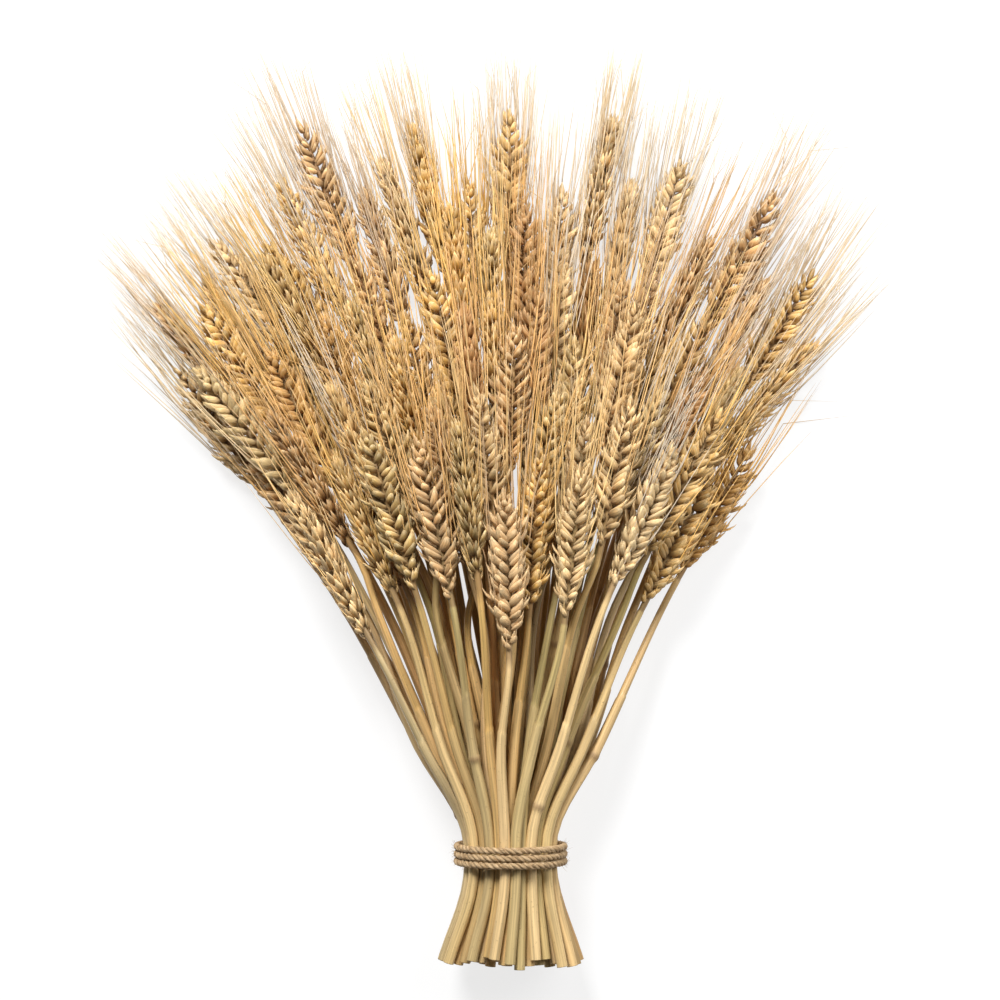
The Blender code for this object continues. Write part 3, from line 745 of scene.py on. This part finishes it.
# %% Which husks bear an awn, and how it sets out
AWN_SHARES = np.array([1.0, 1.0, 0.9, 0.9, 0.3, 0.3, 0.15])
KEPT_INSIDE = 0.42
STRAYS, STRAY_MORE = 0.05, 4.0
AWN_LONG = (40.0, 74.0)
AWN_PAST_TIP = 44.0
BEAK_LONG = (2.0, 8.0)


def awn_ways(axis, side, face, right, front, along, rng):
    """The ways that awns take in the end: the ear's own, leaning out more at its foot, and a few far astray."""
    count = len(along)
    stray = np.where(rng.random((count, 1)) < STRAYS, STRAY_MORE, 1.0)
    spread = np.radians(0.5 + 7.0 * (1 - along) + rng.normal(0, 3.2, (count, 1)) * stray)
    lean = np.radians(front * (1.0 + 2.0 * (1 - along)) + rng.normal(0, 2.8, (count, 1)) * stray)
    return unit(axis + side * (right * np.tan(spread)) + face * np.tan(lean))


def awn_lengths(ear_long, kind, along, rng):
    """Longest from the middle of the ear, none far past its tip, and only a beak on the short husks."""
    count = len(along)
    long = AWN_LONG[0] + (AWN_LONG[1] - AWN_LONG[0]) * np.sin(np.pi * np.clip(0.15 + 0.75 * along, 0, 1))
    long = long * rng.normal(0.97, 0.17, (count, 1)).clip(0.3, 1.2)
    long = np.minimum(long, (1 - along) * ear_long + AWN_PAST_TIP - 4 + rng.normal(0, 4, (count, 1)).clip(-10, 4))
    long = np.where(kind[:, None] == BETWEEN, 0.5 * long, long)
    return np.where(np.isin(kind, BEAKED)[:, None], rng.uniform(*BEAK_LONG, (count, 1)), long)


print("long awns of an ear, before any are lost, about", round(SPIKELETS * AWN_SHARES[2:].sum()))

# %% Grow the awns
AWN_R = 0.31
AWN_SIDES = 3
AWN_STEPS = np.array([0.0, 0.05, 0.15, 0.35, 0.65, 1.0])
SWING = 6.0
CURL, CURL_OUT = 0.0005, 0.0002
BENT = 0.06
BLEACHED = 0.92
ROOM = 0.6
low_limit, high_limit = np.array(cad_box) / MM + [[ROOM], [-ROOM]]


def grow_awns(piece, stalk, rng, stalk_shade, husks):
    """A point of an awn at distance s is start + way s + (first way - way) 6 (1 - exp(-s / 6)) + curl s^2. Past
    its last bend, where it has one, it goes on aside too."""
    ends, kind, right, front, along = husks
    _, ear_long, axis, side, face = ear_frame(stalk)
    rim_share = smooth_step(stalk.reach, *RIM_REACH)
    kept = (KEPT_INSIDE + (1 - KEPT_INSIDE) * rim_share) * (0.6 + 0.6 * along[:, 0])
    grows = rng.random(len(kind)) < AWN_SHARES[kind] * np.where(np.isin(kind, BEAKED), 1, kept)
    ends, kind, right, front, along = (a[grows] for a in (ends, kind, right, front, along))
    count = len(ends)
    first_way = unit(ends[:, 1] - ends[:, 0])
    start = ends[:, 1] - 0.25 * (ends[:, 1] - ends[:, 0])
    way = awn_ways(axis, side, face, right, front, along, rng)
    long = awn_lengths(ear_long, kind, along, rng)
    from_here = start + (first_way - way) * SWING
    room = np.where(way > 0, high_limit - from_here, from_here - low_limit) / np.maximum(np.abs(way), 1e-6)
    room[:, 2] = np.where(way[:, 2] > 0, room[:, 2], 1e6)
    s = np.minimum(long, room.min(axis=1, keepdims=True) * 0.99) * AWN_STEPS
    curl = (side * rng.normal(0, 1, (count, 1)) + face * rng.normal(0, 1, (count, 1))) * CURL
    curl += side * right * CURL_OUT
    path = start[:, None] + way[:, None] * s[..., None] + curl[:, None] * (s**2)[..., None]
    path += (first_way - way)[:, None] * (SWING * (1 - np.exp(-s / SWING)))[..., None]
    bent = rng.random((count, 1)) < BENT
    bend = bent * (side * rng.normal(0, 0.6, (count, 1)) + face * rng.normal(0, 0.4, (count, 1)))
    path += bend[:, None] * (s - s[:, -2:-1]).clip(0)[..., None]
    path = path.clip(low_limit, high_limit)
    path = np.concatenate([path[:, :1] - 0.3 * first_way[:, None], path], axis=1)
    across, outward = across_and_out(path, axis + 0.7 * face + 0.3 * side)
    radius = AWN_R * rng.uniform(0.8, 1.15, (count, 1)) * np.where(np.isin(kind, BEAKED), 0.8, 1)[:, None]
    radius = (radius * (1 - 0.62 * AWN_STEPS[:-1]))[..., None]
    shade = shades(stalk_shade * (1 - BLEACHED * rim_share), rng.random((count, 1)), np.append(0, AWN_STEPS))
    offset = rng.uniform(0, PART_APART, (count, 3))
    piece.add(2, path, across * radius, outward * radius, AWN_SIDES, shade, offset)
    return int((~np.isin(kind, (*BEAKED, BETWEEN))).sum())


awns = grow_awns(trial, stalks[0], np.random.default_rng(0), 0.5, husks)
print("one ear with its awns:", awns, "long awns,", trial.triangles(), "triangles in the trial piece")

# %% [markdown]
# ## Colours and how they are built
#
# Dry wheat is no single colour. Straws run from grey-tan to gold, and awns are palest of all. The husks get painted
# shade, dark at the foot, and a painted cream highlight where they swell. Every material is built from the same two
# node groups. One draws streaks along a part from its *grain*, the other gives soft patches and small specks. They
# give values and heights only, so that each material mixes its own colours with them.

# %% Node helpers


def node(tree, kind, sockets=(), **settings):
    """Adds a node, makes its settings, and fills its sockets by number or name with values or with links."""
    made = tree.nodes.new(kind)
    for key, value in settings.items():
        setattr(made, key, value)
    for key, value in dict(sockets).items():
        socket = made.inputs[key]
        if isinstance(value, bpy.types.NodeSocket):
            tree.links.new(value, socket)
        else:
            socket.default_value = (*value, 1) if socket.type == "RGBA" else value
    return made


def span(tree, value, start, end, low=0.0, high=1.0):
    """The value's way from start to end, laid over low to high and held there beyond them."""
    return node(tree, "ShaderNodeMapRange", {0: value, 1: start, 2: end, 3: low, 4: high}).outputs[0]


def noise(tree, place, scale, detail):
    return node(tree, "ShaderNodeTexNoise", {"Vector": place, "Scale": scale, "Detail": detail}).outputs["Fac"]


def math_node(tree, operation, *values):
    return node(tree, "ShaderNodeMath", dict(enumerate(values)), operation=operation).outputs[0]


def new_group(name, inputs, outputs):
    """An empty node group, its inputs given as names with their values, and its outputs as names."""
    tree = bpy.data.node_groups.new(name, "ShaderNodeTree")
    for label, value in inputs.items():
        kind = "NodeSocketVector" if isinstance(value, tuple) else "NodeSocketFloat"
        tree.interface.new_socket(label, in_out="INPUT", socket_type=kind).default_value = value
    for label in outputs:
        tree.interface.new_socket(label, in_out="OUTPUT", socket_type="NodeSocketFloat")
    return tree, tree.nodes.new("NodeGroupInput").outputs, tree.nodes.new("NodeGroupOutput").inputs


print("helpers:", [helper.__name__ for helper in (node, span, noise, math_node, new_group)])

# %% Streaks and patches
STREAKS, given, result = new_group(
    "streaks along the grain", {"Grain": (0, 0, 0), "Across": 1500.0, "Along": 40.0}, ("Streak", "Height")
)
stretch = node(STREAKS, "ShaderNodeCombineXYZ", {0: given["Across"], 1: given["Across"], 2: given["Along"]})
where = node(STREAKS, "ShaderNodeVectorMath", {0: given["Grain"], 1: stretch.outputs[0]}, operation="MULTIPLY")
broad = noise(STREAKS, where.outputs[0], 1.0, 3.0)
fine = noise(STREAKS, where.outputs[0], 3.1, 2.0)
STREAKS.links.new(span(STREAKS, broad, 0.3, 0.7), result["Streak"])
STREAKS.links.new(math_node(STREAKS, "MULTIPLY_ADD", fine, 0.5, broad), result["Height"])

PATCHES, given, result = new_group(
    "soft patches", {"Place": (0, 0, 0), "Size": 60.0, "Start": 0.45}, ("Patch", "Speck")
)
cloud = noise(PATCHES, given["Place"], given["Size"], 4.0)
patch_end = math_node(PATCHES, "ADD", given["Start"], 0.25)
PATCHES.links.new(span(PATCHES, cloud, given["Start"], patch_end), result["Patch"])
PATCHES.links.new(span(PATCHES, noise(PATCHES, given["Place"], 900.0, 2.0), 0.64, 0.74), result["Speck"])
print("node groups:", STREAKS.name, "and", PATCHES.name)

# %% [markdown]
# A finish is made like a painter's, in layers. It begins with a colour or a ramp of colours. Each step then mixes
# in another colour where one of the masks is strong, or multiplies by a mask. Last come a bump from the streaks
# and a roughness that follows a mask.

# %% A material in the making
REFRACTION = 1.45


class Finish:
    """A material, its colour so far, and the masks that its layers can follow."""

    def __init__(self, name, roughness, across, along, patch_size):
        self.material = bpy.data.materials.new(name)
        self.material.use_nodes = True
        self.tree = self.material.node_tree
        self.shader = self.tree.nodes["Principled BSDF"].inputs
        self.shader["Roughness"].default_value = roughness
        self.shader["IOR"].default_value = REFRACTION
        grain, shade, rim = (
            node(self.tree, "ShaderNodeAttribute", attribute_name=label).outputs[output]
            for label, output in (("grain", "Vector"), ("shade", "Vector"), ("rim", "Fac"))
        )
        self.masks = {"rim": rim}
        self.masks |= zip(("stalk", "own", "along"), node(self.tree, "ShaderNodeSeparateXYZ", {0: shade}).outputs)
        for group, sockets in (
            (STREAKS, {"Grain": grain, "Across": across, "Along": along}),
            (PATCHES, {"Place": grain, "Size": patch_size}),
        ):
            made = node(self.tree, "ShaderNodeGroup", sockets, node_tree=group)
            self.masks |= {socket.name.lower(): socket for socket in made.outputs}

    def ramp(self, mask, stops):
        """Sets the colour to a ramp through (place, colour) stops, read at a mask."""
        made = node(self.tree, "ShaderNodeValToRGB", {0: self.masks[mask]})
        while len(made.color_ramp.elements) < len(stops):
            made.color_ramp.elements.new(0.5)
        for element, (place, colour) in zip(made.color_ramp.elements, stops):
            element.position = place
            element.color = (*colour, 1)
        self.colour = made.outputs["Color"]

    def mix(self, share, one, other, kind="MIX"):
        sockets = {0: share, 6: one, 7: other}
        self.colour = node(self.tree, "ShaderNodeMix", sockets, data_type="RGBA", blend_type=kind).outputs[2]

    def tint(self, colour, share, mask, start=0.0, end=1.0):
        """Mixes in a colour: none of it where the mask is at its start, the whole share at its end."""
        self.mix(span(self.tree, self.masks[mask], start, end, 0.0, share), self.colour, colour)

    def vary(self, mask, low, high):
        """Multiplies the colour by a factor from low to high that follows the mask."""
        self.mix(1.0, self.colour, span(self.tree, self.masks[mask], 0, 1, low, high), "MULTIPLY")

    def done(self, strength, distance, mask, low, high):
        """Links the colour, a bump from the streaks, and a roughness from low to high that follows the mask."""
        bump = {"Strength": strength, "Distance": distance, "Height": self.masks["height"]}
        for key, value in (
            ("Base Color", self.colour),
            ("Normal", node(self.tree, "ShaderNodeBump", bump).outputs[0]),
            ("Roughness", span(self.tree, self.masks[mask], 0, 1, low, high)),
        ):
            self.tree.links.new(value, self.shader[key])
        return self.material


def between(one, other, share):
    """A colour between two, worked out here and not in the material."""
    return tuple((1 - share) * a + share * b for a, b in zip(one, other))


print("half way from black to white:", between((0, 0, 0), (1, 1, 1), 0.5))

# %% [markdown]
# ## The tones
#
# Four tones run through the bundle, as the record of the solid model names them: gold, tan, cream and khaki.
# Each tone makes three finishes that belong together, for the straw, the husks and the awns. No two straws of a
# tone are alike either, so a ramp of straw colours is read at the stalk's own shade. For a straw that shade is
# partly painted shade, so the lower the straw lies in the pile, the darker and browner it is painted.

# %% The tones and the straw's finish
TONES = {
    "straw_gold": {"straw": (0.62, 0.36, 0.11), "husk": (0.84, 0.49, 0.125), "awn": (0.89, 0.55, 0.18)},
    "straw_tan": {"straw": (0.50, 0.29, 0.12), "husk": (0.68, 0.375, 0.135), "awn": (0.81, 0.48, 0.18)},
    "straw_cream": {"straw": (0.60, 0.41, 0.18), "husk": (0.84, 0.55, 0.235), "awn": (0.91, 0.62, 0.27)},
    "straw_khaki": {"straw": (0.50, 0.33, 0.12), "husk": (0.64, 0.42, 0.14), "awn": (0.81, 0.54, 0.21)},
}
# Straw colours from pale to dark brown. The darkest stops are reached mostly by straws low in the pile, and there
# they are painted shade.
STRAW_TONES_AND_PAINTED_SHADE = [
    (0.05, (0.74, 0.53, 0.26)),
    (0.17, (0.36, 0.29, 0.11)),
    (0.29, (0.44, 0.34, 0.21)),
    (0.41, (0.74, 0.45, 0.15)),
    (0.53, (0.36, 0.25, 0.11)),
    (0.66, (0.56, 0.27, 0.085)),
    (0.85, (0.24, 0.11, 0.035)),
]
SHADES_SHARE = 0.75
GREEN_STRAW, SHEATH = (0.34, 0.30, 0.10), (0.55, 0.39, 0.19)
JOINT_AND_SPINE_BROWN, SPOT_BROWN = (0.20, 0.11, 0.05), (0.17, 0.10, 0.05)


def straw_finish(tone):
    """The tone mixed with the stalk's own shade, partly painted shade that is browner the lower the straw lies in
    the pile, streaked along, greener in patches, darker at the joints and on the ear's spine.
    """
    made = Finish(f"{tone}_straw", 0.5, 1100.0, 26.0, 16.0)
    made.ramp("stalk", STRAW_TONES_AND_PAINTED_SHADE)
    made.mix(SHADES_SHARE, TONES[tone]["straw"], made.colour)
    made.tint(GREEN_STRAW, 0.3, "patch")
    made.tint(SHEATH, 0.3, "own")
    made.vary("streak", 0.65, 1.24)
    # along follows the joints' swelling and is 1 on the ear's spine, so both take this dark brown.
    made.tint(JOINT_AND_SPINE_BROWN, 0.65, "along")
    made.tint(SPOT_BROWN, 0.45, "speck")
    return made.done(0.4, 0.0002, "own", 0.42, 0.62)


print("tones:", list(TONES))

# %% [markdown]
# A husk gets painted shade, brown at its foot where its neighbours cover it, and a painted highlight, pale where it
# swells into the light. Its papery margins are pale too, its keel is darker, and faint veins run along it. Awns are
# thin enough for the sun to fade them through. They start in the colour of their husks and end greyer, and at the
# rim they are nearly silver.

# %% The husks' finish and the awns'
# The cream serves the papery margins and the paler stalks, and also a painted highlight. The dark brown serves the
# keel and the stains, and also painted shade at a husk's foot.
CREAM_AND_HIGHLIGHT, BROWN_HUSK, DARK_HUSK_AND_SHADE = (0.98, 0.80, 0.49), (0.46, 0.22, 0.07), (0.20, 0.085, 0.028)
GREY_TIP, BLEACHED_AWN, BROWN_AWN = (0.38, 0.34, 0.29), (0.64, 0.56, 0.45), (0.60, 0.33, 0.12)


def husk_finish(tone):
    """Painted shade at the foot, the tone on the belly, a painted cream highlight where it swells, cream papery
    margins, a darker keel.
    """
    made = Finish(f"{tone}_husk", 0.5, 2000.0, 160.0, 300.0)
    base = TONES[tone]["husk"]
    deep, pale = between(base, DARK_HUSK_AND_SHADE, 0.5), between(base, CREAM_AND_HIGHLIGHT, 0.55)
    # Painted shade at the foot where its neighbours cover it, the tone on the belly, a painted highlight where it
    # swells.
    made.ramp("along", [(0.0, DARK_HUSK_AND_SHADE), (0.26, deep), (0.5, base), (0.78, pale), (1.0, base)])
    made.tint(pale, 0.45, "rim", 0.35, 0.75)
    made.tint(deep, 0.3, "rim", 0.22, 0.0)
    made.vary("own", 0.5, 1.2)
    made.tint(BROWN_HUSK, 0.75, "stalk", 0.45, 0.95)
    made.tint(pale, 0.5, "stalk", 0.3, 0.0)
    made.vary("streak", 0.66, 1.12)
    made.tint(deep, 0.45, "patch")
    return made.done(0.7, 0.0003, "patch", 0.58, 0.75)


def awn_finish(tone):
    """The husk's tone at the foot, palest in the middle and greyer at the tip, each a shade of its own."""
    made = Finish(f"{tone}_awn", 0.45, 3000.0, 60.0, 30.0)
    base = TONES[tone]["awn"]
    tip = between(base, GREY_TIP, 0.65)
    made.ramp("along", [(0.0, TONES[tone]["husk"]), (0.2, base), (0.55, base), (1.0, tip)])
    made.vary("own", 0.55, 1.15)
    made.tint(BROWN_AWN, 0.6, "stalk", 0.45, 0.95)
    made.tint(BLEACHED_AWN, 0.85, "stalk", 0.16, 0.0)
    return made.done(0.2, 0.0001, "patch", 0.38, 0.55)


finishes = {tone: [straw_finish(tone), husk_finish(tone), awn_finish(tone)] for tone in TONES}
print("finishes:", [material.name for three in finishes.values() for material in three])

# %% [markdown]
# ## Growing every stalk
#
# With the three growers and the finishes ready, each solid of the model gets its piece: one stalk, or the two
# that touch in the tie. A piece takes the tone that the record gives its solid. Each stalk's own shade runs from 0,
# fresh and pale, to 1, brown. A straw's shade is partly painted shade: straws low in the pile get the browner
# ones, so the gaps between the stalks above them look deep and warm, as if shaded.

# %% Grow the stalks
# A straw's shade mixes random tone with painted shade, which grows browner the lower the stalk lies in the pile.
# Husks and awns get the random tone only.
RANDOM_SHARE, PAINTED_SHADE_SHARE = 0.45, 0.55
slots = {part["node"]: part["material_slot"] for part in frame["record"]["subparts"]}
total = 0
for name, members in node_stalks.items():
    piece = Piece(f"wheat_{name}")
    for n in members:
        rng = np.random.default_rng([SEED, n])
        shade = float(rng.random())
        grow_straw(piece, stalks[n], rng, RANDOM_SHARE * shade + PAINTED_SHADE_SHARE * (1 - stalks[n].height))
        husks = grow_husks(piece, stalks[n], rng, shade)
        grow_awns(piece, stalks[n], rng, shade, husks)
    tone = slots[name]
    thing = piece.build(finishes[tone])
    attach(thing, "root")
    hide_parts(name)
    total += piece.triangles()
print("pieces:", len(node_stalks), "triangles:", total)

# %% [markdown]
# ## The twine
#
# The tie is plain natural twine, wound three times with its ends tucked away under the bundle. Three plies twist
# round each other, so each is a helix wound on the ring's path. A texture of diagonal stripes on a plain ring
# would be cheaper, but its edge would stay smooth, and it is the bumpy edge that says twine.

# %% Wind the twine
TWINE_TURNS = 3
TWINE = 3.3
TIE_RIDGE, TIGHTEN = 0.8, 0.8
PLIES, PLY_R, PLY_LAY, PLY_SIDES, PLY_POINTS = 3, 0.86, 8.5, 7, 760
PLY_APART = 700.0
STEP_HALF = 0.06
Y_AXIS = np.array([0.0, 1.0, 0.0])
tie_middle = TIE_BORE + TIE_WALL - TIE_FLAT
twine_path_r = TIE_BORE + TIE_WALL + TIE_RIDGE - TWINE / 2 - TIGHTEN


def twine_path(turn):
    """The twine's centre after so many turns, and the way out from it: a circle flattened where it rests, which
    steps sideways by one thickness at the end of each turn."""
    angle = 2 * np.pi * turn
    outward = np.stack([np.sin(angle), np.zeros_like(angle), -np.cos(angle)], axis=-1)
    steps = sum(smooth_step(turn, k - STEP_HALF, k + STEP_HALF) for k in range(1, TWINE_TURNS))
    z = tie_middle + twine_path_r * outward[..., 2] - TWINE / 2
    z = TWINE / 2 + 0.5 * (z + np.sqrt(z**2 + 0.09)) + TABLE_ROOM
    y = TWINE * (steps - (TWINE_TURNS - 1) / 2)
    return np.stack([twine_path_r * outward[..., 0], y, z], axis=-1), outward


def wind_ply(turns, lay):
    """A ply's centre: the twine's, plus its own radius times a turning mix of the way out and the Y axis."""
    centre, outward = twine_path(turns)
    run = np.concatenate([[0], np.cumsum(np.linalg.norm(np.diff(centre, axis=0), axis=1))])
    turn = 2 * np.pi * run / PLY_LAY + lay
    off = turned(outward, Y_AXIS, turn[:, None])[0]
    return centre + off * (TWINE / 2 - PLY_R), off


rng = np.random.default_rng([SEED, STALKS])
twine = Piece("twine_tie")
turns = np.linspace(0.01, TWINE_TURNS - 0.01, PLY_POINTS)
for ply in range(PLIES):
    path, off = wind_ply(turns, 2 * np.pi * ply / PLIES)
    across, outward = across_and_out(path[None], off[None, 1:-1])
    rings = np.arange(PLY_POINTS - 2)
    radius = PLY_R * (1 + 0.05 * np.sin(rings * 0.9) * rng.random(len(rings)))[:, None]
    shade = shades(0.0, ply / (PLIES - 1), np.linspace(0, 1, PLY_POINTS))[None]
    offset = np.array([[0.0, 0.0, PLY_APART * ply]])
    twine.add(0, path[None], across * radius, outward * radius, PLY_SIDES, shade, offset)
print("twine:", PLIES, "plies,", TWINE_TURNS, "turns,", twine.triangles(), "triangles")

# %% [markdown]
# A few loose fibres stand off the twine. Each leaves it at a slant and bends back, as a parabola of its length.

# %% Loose fibres
FIBRES = 420
FIBRE_R = 0.07
FIBRE_LONG = (1.5, 5.0)
FIBRE_FROM, FIBRE_BEND = 1.35, 0.05
centre, outward = twine_path(rng.uniform(0.08, 0.92, FIBRES) + rng.integers(0, TWINE_TURNS, FIBRES))
around = rng.uniform(-1.3, 1.3, FIBRES)[:, None]
off = unit(turned(outward, Y_AXIS, around)[0])
along = np.cross(outward, Y_AXIS) * rng.choice([-1, 1], FIBRES)[:, None]
way = unit(off * rng.uniform(0.1, 0.9, (FIBRES, 1)) + along + rng.normal(0, 0.4, (FIBRES, 3)))
steps = np.array([0.0, 0.1, 0.4, 0.75, 1.0])
long = (rng.uniform(*FIBRE_LONG, (FIBRES, 1)) * steps)[..., None]
path = (centre + off * FIBRE_FROM)[:, None] + way[:, None] * long - off[:, None] * (FIBRE_BEND * long**2)
path = path.clip(low_limit, high_limit)
across, outward = across_and_out(path, off[:, None] + 0.3)
thin = FIBRE_R * (1 - 0.5 * steps[1:-1])[:, None]
shade = np.full((FIBRES, len(steps), 3), 0.8)
offset = rng.uniform(0, PART_APART, (FIBRES, 3))
twine.add(0, path, across * thin, outward * thin, 3, shade, offset)
print("with", FIBRES, "fibres:", twine.triangles(), "triangles")

# %% [markdown]
# Jute is dull and brown, with pale strands among darker ones, and its fibres run round each ply at a slant.

# %% The twine's finish
JUTE = [(0.0, (0.20, 0.115, 0.05)), (0.5, (0.38, 0.25, 0.125)), (1.0, (0.56, 0.41, 0.24))]
PALE_JUTE, STAINED_JUTE = (0.60, 0.45, 0.27), (0.24, 0.14, 0.06)
jute = Finish("twine_jute", 0.85, 1600.0, 260.0, 90.0)
jute.ramp("streak", JUTE)
jute.tint(PALE_JUTE, 0.25, "own")
jute.tint(STAINED_JUTE, 0.4, "patch")
tie = twine.build([jute.done(0.6, 0.0004, "patch", 0.75, 0.95)])
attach(tie, "root")
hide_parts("tie")

# %% [markdown]
# ## The table, the light and the camera
#
# The bundle lies on a plain pale table, and the camera looks straight down on it, as one photographs a bouquet
# laid out flat. The table glows, like a light box, so that the shadows on it stay as faint as in a picture cut
# out on white.

# %% Table
TABLE_SIZE, TABLE_DROP = 8.0, -0.0002
PAPER = {"Base Color": (0.22, 0.22, 0.22, 1), "Roughness": 0.9, "Emission Color": (1, 1, 1, 1)}
PAPER["Emission Strength"] = 0.77
bpy.ops.mesh.primitive_plane_add(size=TABLE_SIZE, location=(0, 0, TABLE_DROP))
table = bpy.context.object
table.name = "table"
paper = bpy.data.materials.new("table_pale")
paper.use_nodes = True
for key, value in PAPER.items():
    paper.node_tree.nodes["Principled BSDF"].inputs[key].default_value = value
table.data.materials.append(paper)
print("table:", TABLE_SIZE, "m wide")

# %% [markdown]
# A soft light beyond the heads, a little to the left, gives every husk a bright and a dark side. A weaker and
# wider one keeps the right side of the fan from going dull, and a dim pale sky fills what neither reaches.

# %% Lights and sky
LIGHTS = (
    ("key", (-0.45, 1.3, 1.15), 0.6, 45.0),
    ("fill", (0.95, 0.85, 1.1), 0.9, 18.0),
)
AIM = mathutils.Vector((0.0, 0.15, 0.03))
SKY = 0.12
for label, place, size, power in LIGHTS:
    lamp = bpy.data.lights.new(label, "AREA")
    lamp.size = size
    lamp.energy = power
    holder = bpy.data.objects.new(label, lamp)
    bpy.context.scene.collection.objects.link(holder)
    holder.location = place
    holder.rotation_euler = (AIM - holder.location).to_track_quat("-Z", "Y").to_euler()

world = bpy.data.worlds.new("sky")
world.use_nodes = True
for key, value in (("Color", (1.0, 1.0, 1.0, 1)), ("Strength", SKY)):
    world.node_tree.nodes["Background"].inputs[key].default_value = value
bpy.context.scene.world = world
bpy.context.scene.view_settings.view_transform = "Standard"
print("lights:", [label for label, *_ in LIGHTS])

# %% [markdown]
# A long lens from far off keeps the ears on top from looking larger than those below. Its distance follows from
# the width that the picture shows, at the height of the middle of the pile.

# %% Camera
SEEN_WIDE = 0.44
LENS, SENSOR = 130.0, 36.0
FOCUS_Z = 0.04
camera = bpy.data.cameras.new("camera")
camera.lens = LENS
camera.sensor_width = SENSOR
camera_holder = bpy.data.objects.new("camera", camera)
bpy.context.scene.collection.objects.link(camera_holder)
middle = np.array(cad_box).mean(axis=0)
camera_holder.location = (middle[0], middle[1], FOCUS_Z + SEEN_WIDE * LENS / SENSOR)
bpy.context.scene.camera = camera_holder
print("camera at", [round(c, 3) for c in camera_holder.location])
